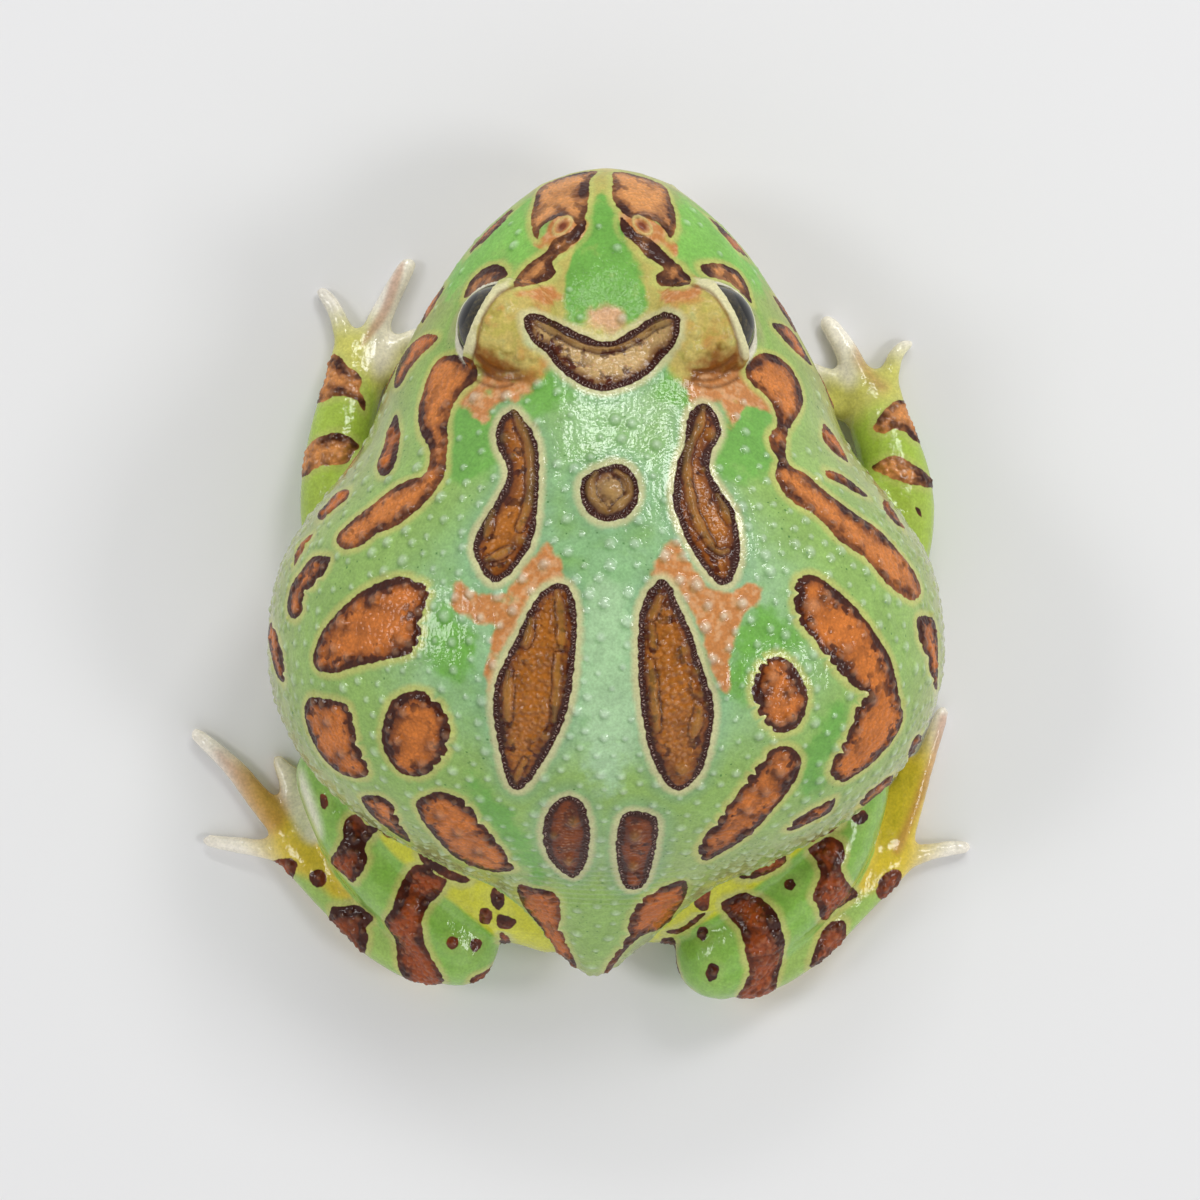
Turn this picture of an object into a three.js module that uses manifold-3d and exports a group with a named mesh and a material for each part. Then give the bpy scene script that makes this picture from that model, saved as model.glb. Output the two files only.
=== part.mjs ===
// Argentine horned frog at rest, life size, in millimetres.
// The frog faces -Y, its left side is +X, and the floor is z = 0.
// The origin is on the floor under the middle of the trunk, in the middle of the flat of the belly.

import * as THREE from 'three';
import { LoftGeometry } from 'three/addons/geometries/LoftGeometry.js';
import { mergeVertices } from 'three/addons/utils/BufferGeometryUtils.js';
import Module from 'manifold-3d';

// Driving dimensions
const snoutTip = -54.9;        // Y of the foremost point of the upper lip
const ventTip = 46.6;          // Y of the hindmost point of the trunk
const neckCut = -21.0;         // Y where the head meets the trunk
const gap = 0.3;               // clearance between neighbouring pieces
const eyeRadius = 5.5;
const eyeCentre = { x: 12.65, y: -34.45, z: 31.5 };
const lidThickness = 0.85;
const lidLineOffset = 2.2;     // how far the line through the eye's corners lies outside its centre
const upperLidAngle = 75;      // degrees above the horizontal, about the line of the corners
const lowerLidAngle = -36;
const eyeAzimuth = -26.6;      // degrees the eye looks forward of straight out
const mouthDrop = 2.0;         // the line of the mouth lies this far under the widest line of the head
const mouthEndAngle = 93;      // degrees from the snout to the corner of the mouth, seen from above
const ventBend = 1.7;          // the end of the trunk bends to the left by this much

// Trunk and head, station by station from the snout to the vent:
// y, half width, height of the back, height of the belly (below 0 is pressed flat), height of the widest line
const bodyStations = [
  [snoutTip, 0.0, 17.2, 17.2, 17.2],
  [-54.1, 4.4, 20.4, 13.4, 16.8],
  [-53.0, 7.6, 22.6, 10.8, 16.6],
  [-50.1, 11.5, 26.0, 7.4, 16.2],
  [-46.0, 16.0, 29.2, 5.0, 15.6],
  [-40.2, 20.2, 32.4, 3.8, 15.0],
  [-33.0, 24.5, 35.2, 3.4, 14.6],
  [-26.0, 28.0, 38.6, 2.6, 14.6],
  [-21.5, 29.4, 40.6, 1.6, 15.0],
  [-16.5, 33.1, 42.6, 0.4, 15.8],
  [-10.4, 37.9, 44.6, -0.8, 16.4],
  [-3.7, 41.1, 46.2, -1.5, 16.8],
  [5.8, 42.0, 46.8, -1.5, 17.0],
  [11.4, 40.8, 45.8, -1.5, 17.2],
  [18.2, 37.4, 42.8, -1.2, 17.6],
  [24.3, 31.5, 37.8, -0.6, 18.4],
  [28.2, 25.4, 33.0, 0.5, 18.6],
  [31.4, 18.6, 28.2, 2.0, 17.8],
  [33.7, 12.8, 24.8, 3.0, 16.0],
  [36.8, 9.2, 21.6, 3.8, 13.8],
  [39.2, 7.0, 19.0, 4.0, 12.2],
  [41.7, 4.9, 16.2, 4.0, 10.6],
  [44.2, 3.4, 13.8, 4.0, 9.2],
  [45.8, 2.2, 12.0, 4.8, 8.4],
  [ventTip, 0.8, 9.8, 6.6, 8.2],
];
const backRoundness = 2.1;     // exponent of the upper half of a cross-section
const bellyRoundness = 2.3;    // exponent of the lower half

// Limbs, station by station from the trunk outwards:
// x outwards, y, z, half width, half height
const limbs = {
  left: {
    side: 1,
    upper_arm: [[25.5, -17.5, 10.5, 5.2, 5.6], [29.5, -12.8, 8.4, 5.2, 5.4], [33.0, -8.8, 6.4, 4.6, 5.0]],
    forearm: [[33.6, -8.4, 5.4, 4.4, 4.8], [34.0, -14.0, 5.2, 4.5, 4.8], [33.6, -20.0, 4.6, 4.2, 4.4],
      [32.7, -25.5, 3.7, 3.8, 3.6], [32.0, -28.2, 3.1, 3.7, 3.0]],
    palm: [[31.9, -28.4, 2.8, 3.7, 2.8], [31.1, -31.8, 2.2, 3.9, 2.2], [30.6, -34.0, 1.8, 3.3, 1.7]],
    fingers: [
      [[28.6, -30.4, 1.6, 1.6, 1.5], [25.0, -30.8, 1.3, 1.35, 1.25], [21.6, -30.2, 1.0, 1.05, 1.0]],
      [[29.0, -32.0, 1.6, 1.5, 1.5], [25.6, -34.2, 1.3, 1.35, 1.25], [22.2, -35.8, 1.0, 1.0, 1.0]],
      [[30.0, -33.0, 1.7, 1.8, 1.6], [28.9, -36.5, 1.5, 1.65, 1.5], [27.0, -40.5, 1.3, 1.45, 1.3],
        [25.0, -44.2, 1.0, 1.2, 1.05]],
      [[32.8, -32.5, 1.6, 1.4, 1.5], [33.4, -36.0, 1.3, 1.25, 1.25], [34.6, -39.0, 1.1, 1.1, 1.1],
        [35.9, -40.6, 0.9, 0.95, 0.95]],
    ],
    thigh: [[7.2, 37.4, 7.4, 5.2, 6.2], [11.5, 34.5, 8.2, 7.0, 7.6], [22.0, 27.5, 8.6, 7.2, 7.8],
      [31.5, 19.5, 7.6, 6.0, 6.8]],
    shank: [[34.4, 20.4, 6.8, 4.6, 5.8], [31.9, 27.0, 7.0, 4.5, 6.2], [27.2, 33.6, 7.2, 4.4, 6.4],
      [21.8, 38.4, 6.8, 4.9, 6.2], [18.8, 41.6, 6.2, 5.3, 5.9]],
    tarsus: [[22.0, 43.0, 4.4, 3.9, 4.2], [26.4, 41.6, 3.9, 3.7, 3.7], [31.3, 37.6, 3.3, 3.2, 3.1],
      [35.7, 33.2, 2.8, 3.2, 2.6], [39.0, 29.4, 2.2, 3.2, 2.1]],
    toes: [
      [[36.6, 29.6, 1.4, 1.2, 1.3], [36.4, 26.6, 1.1, 1.0, 1.0], [37.0, 23.8, 0.8, 0.8, 0.8]],
      [[37.8, 28.4, 1.5, 1.3, 1.4], [37.9, 24.0, 1.1, 1.1, 1.1], [39.5, 20.2, 0.9, 0.9, 0.9]],
      [[39.2, 27.6, 1.6, 1.4, 1.5], [39.9, 22.8, 1.2, 1.2, 1.2], [41.5, 18.6, 0.9, 0.95, 0.9]],
      [[40.2, 28.0, 1.8, 1.8, 1.7], [43.6, 24.0, 1.5, 1.7, 1.5], [47.3, 19.4, 1.3, 1.4, 1.3],
        [51.9, 15.4, 1.0, 1.0, 1.0]],
      [[40.4, 30.4, 1.6, 1.4, 1.5], [45.5, 29.6, 1.2, 1.15, 1.2], [50.4, 28.9, 0.9, 0.95, 0.9]],
    ],
  },
  right: {
    side: -1,
    upper_arm: [[25.5, -16.5, 10.5, 5.2, 5.6], [31.0, -10.6, 8.4, 5.2, 5.4], [35.2, -6.0, 6.4, 4.6, 5.0]],
    forearm: [[35.8, -5.5, 5.4, 4.4, 4.8], [36.8, -11.0, 5.2, 4.5, 4.8], [36.7, -16.0, 4.6, 4.4, 4.4],
      [35.5, -21.0, 3.7, 4.0, 3.6], [34.4, -24.2, 3.1, 3.8, 3.0]],
    palm: [[34.3, -24.4, 2.8, 3.8, 2.8], [33.9, -27.2, 2.2, 3.8, 2.2], [33.7, -29.0, 1.8, 3.2, 1.7]],
    fingers: [
      [[31.4, -25.2, 1.6, 1.6, 1.5], [27.8, -26.2, 1.3, 1.35, 1.25], [24.4, -26.4, 1.0, 1.05, 1.0]],
      [[31.8, -26.8, 1.6, 1.5, 1.5], [28.4, -29.4, 1.3, 1.35, 1.25], [25.0, -31.4, 1.0, 1.0, 1.0]],
      [[32.6, -27.4, 1.7, 1.8, 1.6], [31.6, -30.6, 1.5, 1.75, 1.5], [30.0, -34.0, 1.3, 1.55, 1.3],
        [28.0, -36.8, 1.0, 1.25, 1.05]],
      [[35.6, -27.6, 1.6, 1.4, 1.5], [36.1, -30.6, 1.3, 1.15, 1.25], [36.8, -33.0, 1.1, 1.0, 1.1],
        [38.3, -34.1, 0.9, 0.85, 0.9]],
    ],
    thigh: [[6.8, 36.2, 7.4, 5.2, 6.2], [11.0, 32.8, 8.2, 7.0, 7.6], [21.0, 25.4, 8.6, 7.2, 7.8],
      [29.5, 19.5, 7.6, 6.0, 6.8]],
    shank: [[31.0, 21.5, 6.8, 4.6, 5.8], [29.4, 28.2, 7.0, 4.4, 6.2], [25.8, 33.4, 7.2, 4.7, 6.4],
      [19.8, 38.6, 6.8, 5.1, 6.2], [14.3, 43.0, 6.2, 5.6, 6.0]],
    tarsus: [[17.8, 44.8, 4.4, 3.9, 4.2], [23.4, 42.3, 3.9, 3.7, 3.7], [28.2, 38.6, 3.3, 3.2, 3.1],
      [32.2, 34.4, 2.8, 3.2, 2.6], [36.2, 30.6, 2.2, 3.2, 2.1]],
    toes: [
      [[33.6, 30.8, 1.4, 1.2, 1.3], [33.0, 28.0, 1.1, 1.0, 1.0], [33.2, 25.4, 0.8, 0.8, 0.8]],
      [[34.8, 29.6, 1.5, 1.3, 1.4], [34.7, 26.0, 1.1, 1.1, 1.1], [35.9, 22.8, 0.9, 0.9, 0.9]],
      [[36.0, 28.8, 1.6, 1.4, 1.5], [36.6, 24.4, 1.2, 1.25, 1.2], [38.2, 19.0, 0.9, 0.95, 0.9]],
      [[37.2, 29.2, 1.8, 1.7, 1.7], [38.6, 24.6, 1.5, 1.6, 1.5], [40.4, 18.8, 1.3, 1.35, 1.3],
        [42.6, 12.6, 1.0, 1.0, 1.0]],
      [[37.6, 31.2, 1.6, 1.4, 1.5], [42.0, 30.1, 1.2, 1.1, 1.2], [45.7, 29.7, 0.9, 0.95, 0.9]],
    ],
  },
};

const wasm = await Module();
wasm.setup();

// A closed three.js geometry as a solid that can be joined and cut.
function solidOf(geometry) {
  const bare = new THREE.BufferGeometry().copy(geometry);
  bare.deleteAttribute('normal');
  bare.deleteAttribute('uv');
  const merged = mergeVertices(bare, 1e-5);
  return new wasm.Manifold(new wasm.Mesh({
    numProp: 3,
    vertProperties: new Float32Array(merged.attributes.position.array),
    triVerts: new Uint32Array(merged.index.array),
  }));
}

// The largest closed surface of a solid, as a mesh with a material.
function meshOf(name, solid, material) {
  const pieces = solid.decompose();
  const largest = pieces.reduce((best, piece) => (piece.volume() > best.volume() ? piece : best));
  const data = largest.getMesh();
  const geometry = new THREE.BufferGeometry();
  geometry.setAttribute('position', new THREE.BufferAttribute(new Float32Array(data.vertProperties), 3));
  geometry.setIndex(new THREE.BufferAttribute(new Uint32Array(data.triVerts), 1));
  geometry.computeVertexNormals();
  const mesh = new THREE.Mesh(geometry, material);
  mesh.name = name;
  return mesh;
}

const joined = (solids) => solids.reduce((sum, piece) => sum.add(piece));
const cutBy = (solid, tools) => tools.reduce((rest, tool) => rest.subtract(tool), solid);
const radians = THREE.MathUtils.degToRad;

// Smooth interpolation of one column of the body stations. The square root of the distance
// from the snout is the variable, so that the snout comes out round.
const stationRoots = bodyStations.map((row) => Math.sqrt(row[0] - snoutTip));
function bodyValue(y, column) {
  const root = Math.sqrt(Math.max(0, y - snoutTip));
  const last = bodyStations.length - 1;
  let k = 0;
  while (k < last - 1 && root > stationRoots[k + 1]) k += 1;
  const value = (i) => bodyStations[THREE.MathUtils.clamp(i, 0, last)][column];
  const place = (i) => stationRoots[THREE.MathUtils.clamp(i, 0, last)];
  const slope = (i) => {
    const before = i > 0 ? (value(i) - value(i - 1)) / (place(i) - place(i - 1)) : null;
    const after = i < last ? (value(i + 1) - value(i)) / (place(i + 1) - place(i)) : null;
    if (before === null) return after;
    if (after === null) return before;
    return before * after <= 0 ? 0 : (2 * before * after) / (before + after);
  };
  const span = place(k + 1) - place(k);
  const t = (root - place(k)) / span;
  const t2 = t * t;
  const t3 = t2 * t;
  return (2 * t3 - 3 * t2 + 1) * value(k) + (t3 - 2 * t2 + t) * span * slope(k)
    + (3 * t2 - 2 * t3) * value(k + 1) + (t3 - t2) * span * slope(k + 1);
}

const bendAt = (y) => ventBend * Math.pow(Math.max(0, (y - 30) / (ventTip - 30)), 2);

// Half width of the body at one height of one cross-section, 0 where there is no body.
function halfWidthAt(y, z) {
  const widest = bodyValue(y, 4);
  const upper = z > widest;
  const reach = upper ? bodyValue(y, 2) - widest : widest - bodyValue(y, 3);
  const power = upper ? backRoundness : bellyRoundness;
  const part = Math.abs(z - widest) / Math.max(reach, 1e-6);
  return part >= 1 ? 0 : bodyValue(y, 1) * Math.pow(1 - Math.pow(part, power), 1 / power);
}

// Height of the back above one place on the floor plan.
function backHeightAt(x, y) {
  const part = Math.abs(x) / bodyValue(y, 1);
  const widest = bodyValue(y, 4);
  return widest + (bodyValue(y, 2) - widest) * Math.pow(1 - Math.pow(part, backRoundness), 1 / backRoundness);
}

// Head and trunk as one loft between two places along the body.
function bodyLoft(from, to, rings, sides) {
  const sections = [];
  for (let i = 0; i <= rings; i += 1) {
    const rootFrom = Math.sqrt(from - snoutTip);
    const rootTo = Math.sqrt(to - snoutTip);
    const blend = 0.5;
    const t = i / rings;
    const evenY = from + (to - from) * t;
    const rootY = snoutTip + Math.pow(rootFrom + (rootTo - rootFrom) * t, 2);
    const y = evenY * blend + rootY * (1 - blend);
    const width = Math.max(bodyValue(y, 1), 0.05);
    const widest = bodyValue(y, 4);
    const ring = [];
    for (let j = 0; j < sides; j += 1) {
      const angle = (j / sides) * Math.PI * 2;
      const c = Math.cos(angle);
      const s = Math.sin(angle);
      const power = s > 0 ? backRoundness : bellyRoundness;
      const reach = Math.max(s > 0 ? bodyValue(y, 2) - widest : widest - bodyValue(y, 3), 0.05);
      const x = -width * Math.sign(c) * Math.pow(Math.abs(c), 2 / power);
      const z = widest + reach * Math.sign(s) * Math.pow(Math.abs(s), 2 / power);
      ring.push(new THREE.Vector3(x + bendAt(y), y, Math.max(z, 0)));
    }
    sections.push(ring);
  }
  return solidOf(new LoftGeometry(sections, { capStart: true, capEnd: true }));
}

// A limb or digit: an elliptical loft with round ends along a smooth curve through its stations.
// Its underside is pressed flat on the floor.
function limbLoft(stations, side, rings, sides, grow = 0, capDegrees = [80, 54, 27]) {
  const curve = new THREE.CatmullRomCurve3(
    stations.map(([x, y, z]) => new THREE.Vector3(x * side, y, z)), false, 'centripetal');
  const sections = [];
  const up = new THREE.Vector3(0, 0, 1);
  const last = stations.length - 1;
  const addRing = (t, shift, scale) => {
    const centre = curve.getPoint(t);
    const tangent = curve.getTangent(t);
    const across = up.clone().cross(tangent).normalize();
    const over = tangent.clone().cross(across);
    const k = Math.min(Math.floor(t * last), last - 1);
    const f = t * last - k;
    const ease = f * f * (3 - 2 * f);
    const width = THREE.MathUtils.lerp(stations[k][3], stations[k + 1][3], ease) + grow;
    const height = THREE.MathUtils.lerp(stations[k][4], stations[k + 1][4], ease) + grow;
    const reach = Math.min(width, height);
    const ring = [];
    for (let j = 0; j < sides; j += 1) {
      const angle = ((j + 0.5) / sides) * Math.PI * 2;
      const point = centre.clone()
        .addScaledVector(tangent, shift * reach)
        .addScaledVector(across, Math.cos(angle) * width * scale)
        .addScaledVector(over, Math.sin(angle) * height * scale);
      point.z = Math.max(point.z, -grow);
      ring.push(point);
    }
    sections.push(ring);
  };
  const capAngles = capDegrees.map(radians);
  capAngles.forEach((a) => addRing(0, -Math.sin(a), Math.cos(a)));
  for (let i = 0; i <= rings; i += 1) addRing(i / rings, 0, 1);
  [...capAngles].reverse().forEach((a) => addRing(1, Math.sin(a), Math.cos(a)));
  return solidOf(new LoftGeometry(sections, { capStart: true, capEnd: true }));
}

const digit = (stations, side, grow = 0) => limbLoft(stations, side, 5, 8, grow, [76, 38]);

// An ellipsoid of three radii at a place, optionally turned about Z and Y.
function ellipsoid(centre, radii, columns = 20, rows = 12, turn = [0, 0, 0]) {
  const geometry = new THREE.SphereGeometry(1, columns, rows);
  const place = new THREE.Matrix4().compose(
    new THREE.Vector3(...centre),
    new THREE.Quaternion().setFromEuler(new THREE.Euler(...turn.map(radians), 'ZYX')),
    new THREE.Vector3(...radii));
  geometry.applyMatrix4(place);
  return solidOf(geometry);
}

function block(width, depth, height, x, y, z) {
  const geometry = new THREE.BoxGeometry(width, depth, height);
  geometry.translate(x, y, z);
  return solidOf(geometry);
}

// A band that follows the line of the mouth round the head, given its profile
// as pairs of distance outwards from the skin and height above the line.
function mouthBand(profile, steps) {
  const mouthHeight = (y) => bodyValue(y, 4) - mouthDrop - 1.6 * Math.pow(THREE.MathUtils.smoothstep(y, -34, -22), 2);
  const start = { x: 0, y: -24 };
  const sections = [];
  for (let i = 0; i <= steps; i += 1) {
    const angle = radians(mouthEndAngle) * (1 - (2 * i) / steps);
    const way = new THREE.Vector3(Math.sin(angle), -Math.cos(angle), 0);
    let near = 0;
    let far = 45;
    for (let pass = 0; pass < 40; pass += 1) {
      const middle = (near + far) / 2;
      const y = start.y + way.y * middle;
      const inside = y > snoutTip && Math.abs(way.x * middle) < halfWidthAt(y, mouthHeight(y));
      if (inside) near = middle;
      else far = middle;
    }
    const z = mouthHeight(start.y + way.y * near);
    sections.push(profile.map(([out, rise]) => new THREE.Vector3(
      way.x * (near + out), start.y + way.y * (near + out), z + rise)));
  }
  return solidOf(new LoftGeometry(sections, { capStart: true, capEnd: true }));
}

function ovalProfile(out, rise, outRadius, riseRadius, count) {
  return Array.from({ length: count }, (unused, i) => {
    const angle = (i / count) * Math.PI * 2;
    return [out + outRadius * Math.cos(angle), rise + riseRadius * Math.sin(angle)];
  });
}

// Materials
const backSkin = new THREE.MeshStandardMaterial({ color: 0x8dbb86, roughness: 0.35, metalness: 0 });
const limbSkin = new THREE.MeshStandardMaterial({ color: 0xa8b84e, roughness: 0.4, metalness: 0 });
const eyeMaterial = new THREE.MeshStandardMaterial({ color: 0x1c1f1e, roughness: 0.08, metalness: 0 });

// Limbs of both sides. Each piece gives way to the one farther out, and the body gives way to all.
const group = new THREE.Group();
const limbsGrown = [];
for (const [sideName, limb] of Object.entries(limbs)) {
  const { side } = limb;
  const upperArm = limbLoft(limb.upper_arm, side, 4, 14);
  const forearm = limbLoft(limb.forearm, side, 8, 14);
  const forearmGrown = limbLoft(limb.forearm, side, 8, 14, gap);
  const palm = limbLoft(limb.palm, side, 3, 12);
  const fingers = limb.fingers.map((stations) => digit(stations, side));
  const hand = joined([palm, ...fingers]);
  const thigh = limbLoft(limb.thigh, side, 7, 16);
  const shank = limbLoft(limb.shank, side, 8, 16);
  const shankGrown = limbLoft(limb.shank, side, 8, 16, gap);
  const tarsus = limbLoft(limb.tarsus, side, 6, 12);
  const toes = limb.toes.map((stations) => digit(stations, side));
  const foot = joined([tarsus, ...toes]);
  const pieces = {
    upper_arm: cutBy(upperArm, [forearmGrown]),
    forearm,
    hand: cutBy(hand, [forearmGrown]),
    thigh: cutBy(thigh, [shankGrown]),
    shank,
    foot: cutBy(foot, [shankGrown]),
  };
  for (const [pieceName, piece] of Object.entries(pieces)) {
    group.add(meshOf(`${pieceName}_${sideName}`, piece, limbSkin));
  }
  limbsGrown.push(
    limbLoft(limb.upper_arm, side, 4, 14, gap),
    forearmGrown,
    limbLoft(limb.palm, side, 3, 12, gap),
    limbLoft(limb.thigh, side, 7, 16, gap),
    shankGrown,
    limbLoft(limb.tarsus, side, 6, 12, gap),
    ...limb.fingers.map((stations) => digit(stations, side, gap)),
    ...limb.toes.map((stations) => digit(stations, side, gap)),
  );
}

// Trunk
const trunk = cutBy(bodyLoft(neckCut - 3, ventTip, 24, 36), [
  block(200, 40, 120, 0, neckCut + gap / 2 - 20, 30),
  ...limbsGrown,
]);
group.add(meshOf('torso', trunk, backSkin));

// Head: the loft, the brows and lids, the lips and nostrils, less the sockets, the line of the mouth
// and the openings between the lids.
const headPieces = [
  bodyLoft(snoutTip, neckCut + 3, 19, 36),
  mouthBand(ovalProfile(-0.35, 1.7, 0.95, 1.5, 6), 24),
  mouthBand(ovalProfile(-0.55, -1.6, 0.95, 1.3, 6), 24),
];
const headCuts = [
  mouthBand([[-1.2, 0], [0.9, -0.6], [0.9, 0.6]], 32),
  block(200, 40, 120, 0, neckCut - gap / 2 + 20, 30),
  ...limbsGrown,
];
for (const side of [1, -1]) {
  const centre = [eyeCentre.x * side, eyeCentre.y, eyeCentre.z];
  const lidRadius = eyeRadius + gap + lidThickness;
  const lookTurn = side > 0 ? radians(eyeAzimuth) : Math.PI - radians(eyeAzimuth);

  headPieces.push(ellipsoid(centre, [lidRadius, lidRadius, lidRadius], 18, 12));
  headPieces.push(ellipsoid([10.4 * side, -33.6, 30.4], [6.0, 7.2, 7.9], 16, 10));

  const socket = ellipsoid(centre, [eyeRadius + gap, eyeRadius + gap, eyeRadius + gap], 16, 10);
  const wedge = new THREE.Shape();
  const reach = 12;
  wedge.moveTo(lidLineOffset, 0);
  wedge.lineTo(lidLineOffset + reach * Math.cos(radians(lowerLidAngle)), reach * Math.sin(radians(lowerLidAngle)));
  wedge.lineTo(lidLineOffset + reach, 0);
  wedge.lineTo(lidLineOffset + reach * Math.cos(radians(upperLidAngle)), reach * Math.sin(radians(upperLidAngle)));
  wedge.closePath();
  const wedgeGeometry = new THREE.ExtrudeGeometry(wedge, { depth: 20, bevelEnabled: false, steps: 1 });
  wedgeGeometry.translate(0, 0, -10);
  wedgeGeometry.rotateX(Math.PI / 2);
  wedgeGeometry.rotateZ(lookTurn);
  wedgeGeometry.translate(...centre);
  const reachBall = ellipsoid(centre, [eyeRadius + 1.9, eyeRadius + 1.9, eyeRadius + 1.9], 16, 10);
  headCuts.push(socket, solidOf(wedgeGeometry).intersect(reachBall));

  const nostril = { x: side > 0 ? 5.3 : -4.4, y: -47.0 };
  const nostrilHeight = backHeightAt(nostril.x, nostril.y);
  headPieces.push(ellipsoid([nostril.x, nostril.y, nostrilHeight - 0.1], [1.9, 1.3, 1.0], 10, 6, [12, 10 * side, -35 * side]));
  headCuts.push(ellipsoid([nostril.x + 0.2 * side, nostril.y - 0.1, nostrilHeight + 0.7], [0.95, 0.5, 1.1], 8, 6,
    [12, 10 * side, -35 * side]));

  const eyeball = ellipsoid(centre, [eyeRadius, eyeRadius, eyeRadius], 18, 12);
  group.add(meshOf(side > 0 ? 'eye_left' : 'eye_right', eyeball, eyeMaterial));
}
group.add(meshOf('head', cutBy(joined(headPieces), headCuts), backSkin));

export default group;
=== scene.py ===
import math
import time

import bpy
import numpy as np
from mathutils import Matrix, Vector
from mathutils.bvhtree import BVHTree


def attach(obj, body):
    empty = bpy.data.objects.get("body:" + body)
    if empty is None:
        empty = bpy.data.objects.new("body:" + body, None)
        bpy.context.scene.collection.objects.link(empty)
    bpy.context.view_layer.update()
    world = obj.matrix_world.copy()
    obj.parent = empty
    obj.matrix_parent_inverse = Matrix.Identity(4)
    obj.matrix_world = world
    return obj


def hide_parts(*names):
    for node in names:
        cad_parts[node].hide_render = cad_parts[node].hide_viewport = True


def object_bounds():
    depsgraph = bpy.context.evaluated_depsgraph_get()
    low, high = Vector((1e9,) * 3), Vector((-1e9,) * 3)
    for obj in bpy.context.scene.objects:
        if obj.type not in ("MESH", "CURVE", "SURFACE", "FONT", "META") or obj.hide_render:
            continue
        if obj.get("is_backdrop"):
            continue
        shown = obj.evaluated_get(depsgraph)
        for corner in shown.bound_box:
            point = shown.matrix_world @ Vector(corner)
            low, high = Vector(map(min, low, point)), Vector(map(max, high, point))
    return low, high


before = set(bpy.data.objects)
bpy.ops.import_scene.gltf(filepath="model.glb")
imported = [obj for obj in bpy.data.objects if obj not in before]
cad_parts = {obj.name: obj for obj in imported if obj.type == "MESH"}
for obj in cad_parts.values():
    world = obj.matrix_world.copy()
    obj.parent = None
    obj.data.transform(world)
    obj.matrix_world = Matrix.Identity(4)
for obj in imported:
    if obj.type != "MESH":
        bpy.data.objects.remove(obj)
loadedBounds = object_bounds()
startTime = time.time()


def report(stage):
    print(f"[{time.time() - startTime:6.1f} s] {stage}")


# View: the camera looks straight down, as in the photograph. Places in the photograph are
# given in its pixels and turned into millimetres of the frog's own frame.
view = {
    "cameraHeight": 650.0,         # mm over the floor
    "centreX": 0.74,               # mm, the point that the middle of the picture shows
    "centreY": -1.6,
    "pictureSide": 1200,           # pixels
    "mmPerPixel": 0.122,           # at the height below
    "atHeight": 25.0,              # mm over the floor
}
pixelScale = view["mmPerPixel"] / (view["cameraHeight"] - view["atHeight"])


def toPixels(points):
    scale = pixelScale * (view["cameraHeight"] - points[:, 2])
    middle = view["pictureSide"] / 2
    px = middle - (points[:, 0] - view["centreX"]) / scale
    py = middle + (points[:, 1] - view["centreY"]) / scale
    return np.stack([px, py], axis=1)


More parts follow.
